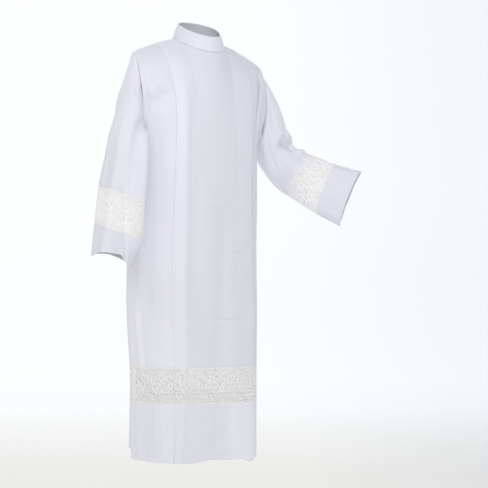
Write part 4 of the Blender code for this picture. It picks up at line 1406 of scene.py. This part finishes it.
# Rows of points: their shares of the yoke, then their heights down to the lace, closer together at
# the pressed lines, and from the lace to the hem, closer at its stitches and its edge
YOKE = gathered(0.0, 1.0, 44, 0.004)[:-4]
PRESSED = (-0.5385, -0.6755, -0.8865)
AT_PRESSED = (-0.006, -0.004, -0.0025, -0.0012, 0.0, 0.0012, 0.0025, 0.004, 0.006)
BELOW = [z for z in np.linspace(CHEST_LINE, BAND_TOP, 90)[:-1]
         if min(abs(z - line) for line in PRESSED) > 0.0075]
BELOW += [line + off for line in PRESSED for off in AT_PRESSED]
BELOW = np.array(sorted(BELOW, reverse=True) + [BAND_TOP + away for away in SEAM_ROWS[::-1]])
TO_HEM = np.concatenate([
    BAND_BOTTOM - np.array(SEAM_ROWS),
    np.linspace(BAND_BOTTOM - 0.007, HEM + 0.022, 26),
    HEM + HEM_STITCH + np.array([0.0030, 0.0014, 0.0, -0.0014, -0.0030]),
    HEM + np.array([0.0095, 0.0070, 0.0045, 0.0020, 0.0008, 0.0]),
])

front = body_panel("robe_front", False, YOKE, BELOW, CLOTH, (True, True, True, True))
back = body_panel("robe_back", True, YOKE, BELOW, CLOTH, (True, True, True, True))
hem_front = body_panel("hem_front", False, [], TO_HEM, HEM_CLOTH, (True, False, True, True))
hem_back = body_panel("hem_back", True, [], TO_HEM, HEM_CLOTH, (True, False, True, True))

right_cloth = sleeve_tube("sleeve_right_cloth", right_sleeve)
left_cloth = sleeve_tube("sleeve_left_cloth", left_sleeve)
right_cuff = cuff("cuff_right_cloth", right_sleeve, RIGHT_RIM)
left_cuff = cuff("cuff_left_cloth", left_sleeve, LEFT_RIM)


def skirt_lace(name, back):
    """One side of the lace band round the skirt."""
    angles = np.linspace(-90.0, 90.0, 721) + (180.0 if back else 0.0)
    tiny = 0.05
    lengths = run_along(body((BAND_TOP + BAND_BOTTOM) / 2, angles))

    def surface(u, v):
        z, angle = BAND_TOP - v, np.interp(u, lengths, angles)
        points = body(z, angle)
        normals = unit(np.cross(body(z, angle + tiny) - points, body(z - 0.001, angle) - points))
        outwards = points - body(z, angle + 180.0)
        normals = normals * np.sign((normals * outwards).sum(axis=-1, keepdims=True))
        depth = crease_depth(angle, z, BODY_CREASES, BODY_METRES)
        depth = depth + (0.0 if back else pleat_rise(angle, z))
        return points + normals * depth[..., None]

    return lace_band(name, surface, lengths[-1], BAND_TOP - BAND_BOTTOM, GAP_HALF, skirt_lace_cloth)


def sleeve_lace(name, sleeve):
    """The lace band round a sleeve, with its own seam on the underside."""
    start, end = sleeve.lace
    turns = np.linspace(-0.5, 0.5, 193)
    lengths = run_along(sleeve.points(np.full(len(turns), (start + end) / 2), turns))
    ends = sleeve.rings([start, end]).mean(axis=1)
    height = float(np.linalg.norm(ends[1] - ends[0]))

    def surface(u, v):
        return sleeve.points(start + (end - start) * v / height, np.interp(u, lengths, turns))

    return lace_band(name, surface, lengths[-1], height, SLEEVE_GAP_HALF, sleeve_lace_cloth)


front_lace = skirt_lace("skirt_lace_front_panel", False)
back_lace = skirt_lace("skirt_lace_back_panel", True)
right_lace = sleeve_lace("sleeve_right_lace", right_sleeve)
left_lace = sleeve_lace("sleeve_left_lace", left_sleeve)


def collar_point(angle, up):
    """A point of the stand collar: round the neck, and up from the seam (0) to its edge (1)."""
    base = neck_point(angle)
    c, s = math.cos(math.radians(angle)), math.sin(math.radians(angle))
    depth = -COLLAR_FRONT if c > 0 else -COLLAR_BACK
    rise = -COLLAR_FRONT_DROP if c > 0 else -COLLAR_BACK_RISE
    top = np.array([COLLAR_HALF_WIDTH * s, depth * c, COLLAR_SIDE_RISE + rise * c])
    proud = 0.0025 * math.sin(math.pi * min(max(up, 0.0), 1.0))
    proud = proud + 0.0016 * math.exp(-((up / 0.12) ** 2))
    bulge = unit(np.array([s, -c, 0.0])) * proud
    return base + (top - base) * up + bulge


def stand_collar():
    """The stand collar, whose ends meet at the left of the front, as worn."""
    edge = [0.86, 0.885, 0.91, 0.935, 0.955, 0.97, 0.985, 0.996]
    rows = []
    for up in np.concatenate([[0.0, 0.03, 0.06], np.linspace(0.1, 0.82, 11), edge]):
        corner = 1 - math.sqrt(1 - max(0.0, (up - COLLAR_CORNER) / (1 - COLLAR_CORNER)) ** 2)
        gap = 1.2 + 2.8 * up + 9.0 * corner
        angles = np.linspace(COLLAR_OPENING + gap / 2, COLLAR_OPENING + 360.0 - gap / 2, 160)
        rows.append([collar_point(a, up) for a in angles])
    points = np.array(rows)
    normals = grid_normals(points)
    down, up, _, _ = from_edges(points, False)
    points = points - normals * stitch_dip(up - COLLAR_STITCH)[..., None]
    GRIDS["stand_collar"] = points, normals, up - COLLAR_STITCH
    made = shell("stand_collar", points, points - normals * COLLAR_CLOTH, cloth)
    # The whole collar is greyed a little, as painted shade
    return mark(made, "single_and_shade", np.full(points.shape[:2], COLLAR_PAINTED_SHADE))


collar = stand_collar()


def stitches(name, grid_name, closed):
    """A line of thread stitches along the groove of a piece."""
    points, normals, away = GRIDS[grid_name]
    line, up = [], []
    for k in range(points.shape[1]):
        order = np.argsort(away[:, k])
        line.append(point_at(0.0, away[order, k], points[order, k]))
        up.append(point_at(0.0, away[order, k], normals[order, k]))
    if closed:
        line, up = line + line[:1], up + up[:1]
    line, up = np.array(line), unit(up)
    run = run_along(line)
    length, width, height = STITCH_SIZE
    corners, faces = [], []
    for middle in np.arange(STITCH_PITCH, run[-1] - STITCH_PITCH, STITCH_PITCH):
        places = (middle - length / 2, middle, middle + length / 2)
        first, centre, last = (point_at(at, run, line) for at in places)
        out = unit(point_at(middle, run, up))
        aside = unit(np.cross(last - first, out)) * width / 2
        base = len(corners)
        corners += [first - out * STITCH_ENDS_SUNK, centre + aside, centre + out * height,
                    centre - aside, centre - out * STITCH_MIDDLE_SUNK, last - out * STITCH_ENDS_SUNK]
        for a, b in ((1, 2), (2, 3), (3, 4), (4, 1)):
            faces += [(base, base + b, base + a), (base + 5, base + a, base + b)]
    return piece(name, corners, faces, thread)


hem_thread_front = stitches("hem_stitches_front", "hem_front", False)
hem_thread_back = stitches("hem_stitches_back", "hem_back", False)
cuff_thread_right = stitches("cuff_stitches_right", "cuff_right_cloth", True)
cuff_thread_left = stitches("cuff_stitches_left", "cuff_left_cloth", True)
collar_thread = stitches("collar_stitches", "stand_collar", False)

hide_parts("front")
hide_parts("back")
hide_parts("collar")
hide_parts("hem_band_front")
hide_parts("hem_band_back")
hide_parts("right_sleeve")
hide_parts("left_sleeve")
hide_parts("right_cuff")
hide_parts("left_cuff")
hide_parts("skirt_lace_front")
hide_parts("skirt_lace_back")
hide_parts("right_sleeve_lace_outer", "right_sleeve_lace_inner")
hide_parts("left_sleeve_lace_outer", "left_sleeve_lace_inner")


# ---- studio

# The floor, the wall, the curve between them, and how far the floor reaches
FLOOR = -1.56
WALL = 3.4
SWEEP = 1.2
WALL_TOP = 6.0
FLOOR_REACH = 60.0
# Where the paper's painted light changes: from the wall to the floor, over a depth, and across, over a
# width
PAPER_NEAR = 2.7
PAPER_DEPTH = 2.0
PAPER_LEFT = 0.4
PAPER_WIDTH = 1.6
# The camera: its angle from the front, its distance and its height; then the picture's width, the
# focal length and the shift, in pixels
VIEW_ANGLE = 30.0
VIEW_DISTANCE = 3.1
VIEW_HEIGHT = -0.65
PICTURE = 488.0
FOCAL = 969.0
SHIFT = 46.0
SENSOR = 36.0


def sweep():
    """A pale floor that rises into a white wall."""
    arc = np.radians(np.arange(6, 91, 6))
    profile = [(-FLOOR_REACH, FLOOR), (WALL - SWEEP, FLOOR)]
    profile += [(WALL - SWEEP + SWEEP * math.sin(a), FLOOR + SWEEP - SWEEP * math.cos(a)) for a in arc]
    profile += [(WALL, WALL_TOP)]
    corners = [(side * FLOOR_REACH, y, z) for y, z in profile for side in (-1, 1)]
    faces = [(2 * k, 2 * k + 1, 2 * k + 3, 2 * k + 2) for k in range(len(profile) - 1)]
    data = bpy.data.meshes.new("studio_sweep")
    data.from_pydata(corners, [], faces)
    data.polygons.foreach_set("use_smooth", [True] * len(faces))
    data.materials.append(glowing_paper_finish())
    made = in_scene("studio_sweep", data)
    made.rotation_euler = (0.0, 0.0, math.radians(-VIEW_ANGLE))


def glowing_paper_finish():
    """The studio's paper glows with painted light: its floor glows darker than its wall, and both
    darker on the right, as painted shade.
    """
    finish = Finish("studio_paper_painted_glow", Roughness=0.9, Emission_Strength=1.0)
    finish.set("Base Color", (0.15, 0.15, 0.15, 1.0))
    across, deep = finish.apart(finish.place())
    near = ((PAPER_NEAR - deep) * (1 / PAPER_DEPTH)).held(0.0, 1.0)
    aside = ((across - PAPER_LEFT) * (1 / PAPER_WIDTH)).held(0.0, 1.0)
    # The paper's glow is painted light: bright on the wall, painted shade on the floor and to the
    # right
    air = finish.mix(aside, (0.855, 0.866, 0.890, 1.0), (0.775, 0.800, 0.830, 1.0))
    floor = finish.mix(aside, (0.690, 0.690, 0.665, 1.0), (0.500, 0.515, 0.525, 1.0))
    finish.set("Emission Color", finish.mix(near, air, floor))
    return finish.material


def lamp(name, place, target, size, power):
    """A square soft light, turned to a target and not seen by the camera."""
    light = bpy.data.lights.new(name, "AREA")
    light.shape, light.size, light.energy = "SQUARE", size, power
    made = in_scene(name, light)
    made.location, made.visible_camera = place, False
    made.rotation_euler = (Vector(target) - Vector(place)).to_track_quat("-Z", "Y").to_euler()


def studio():
    """The floor and wall, soft lights and the camera."""
    sweep()
    world = bpy.data.worlds.new("studio_air")
    world.use_nodes = True
    air = world.node_tree.nodes["Background"].inputs
    air["Color"].default_value = (0.95, 0.955, 1.0, 1.0)
    air["Strength"].default_value = 0.38
    bpy.context.scene.world = world

    lamp("key_light", (-2.4, -3.9, 1.3), (0.0, 0.0, -0.50), size=3.0, power=79.0)
    lamp("side_light", (-3.4, -0.9, 1.9), (-0.2, 0.0, -0.2), size=1.8, power=24.0)
    lamp("fill_light", (1.5, -3.7, 1.7), (0.0, 0.0, -0.30), size=2.4, power=32.0)

    camera = in_scene("camera", bpy.data.cameras.new("camera"))
    camera.data.sensor_width = SENSOR
    camera.data.lens = SENSOR * FOCAL / PICTURE
    camera.data.shift_x = SHIFT / PICTURE
    angle = math.radians(VIEW_ANGLE)
    camera.location = (-VIEW_DISTANCE * math.sin(angle), -VIEW_DISTANCE * math.cos(angle), VIEW_HEIGHT)
    camera.rotation_euler = (math.radians(90.0), 0.0, -angle)
    bpy.context.scene.camera = camera
    bpy.context.scene.view_settings.view_transform = "Standard"


studio()
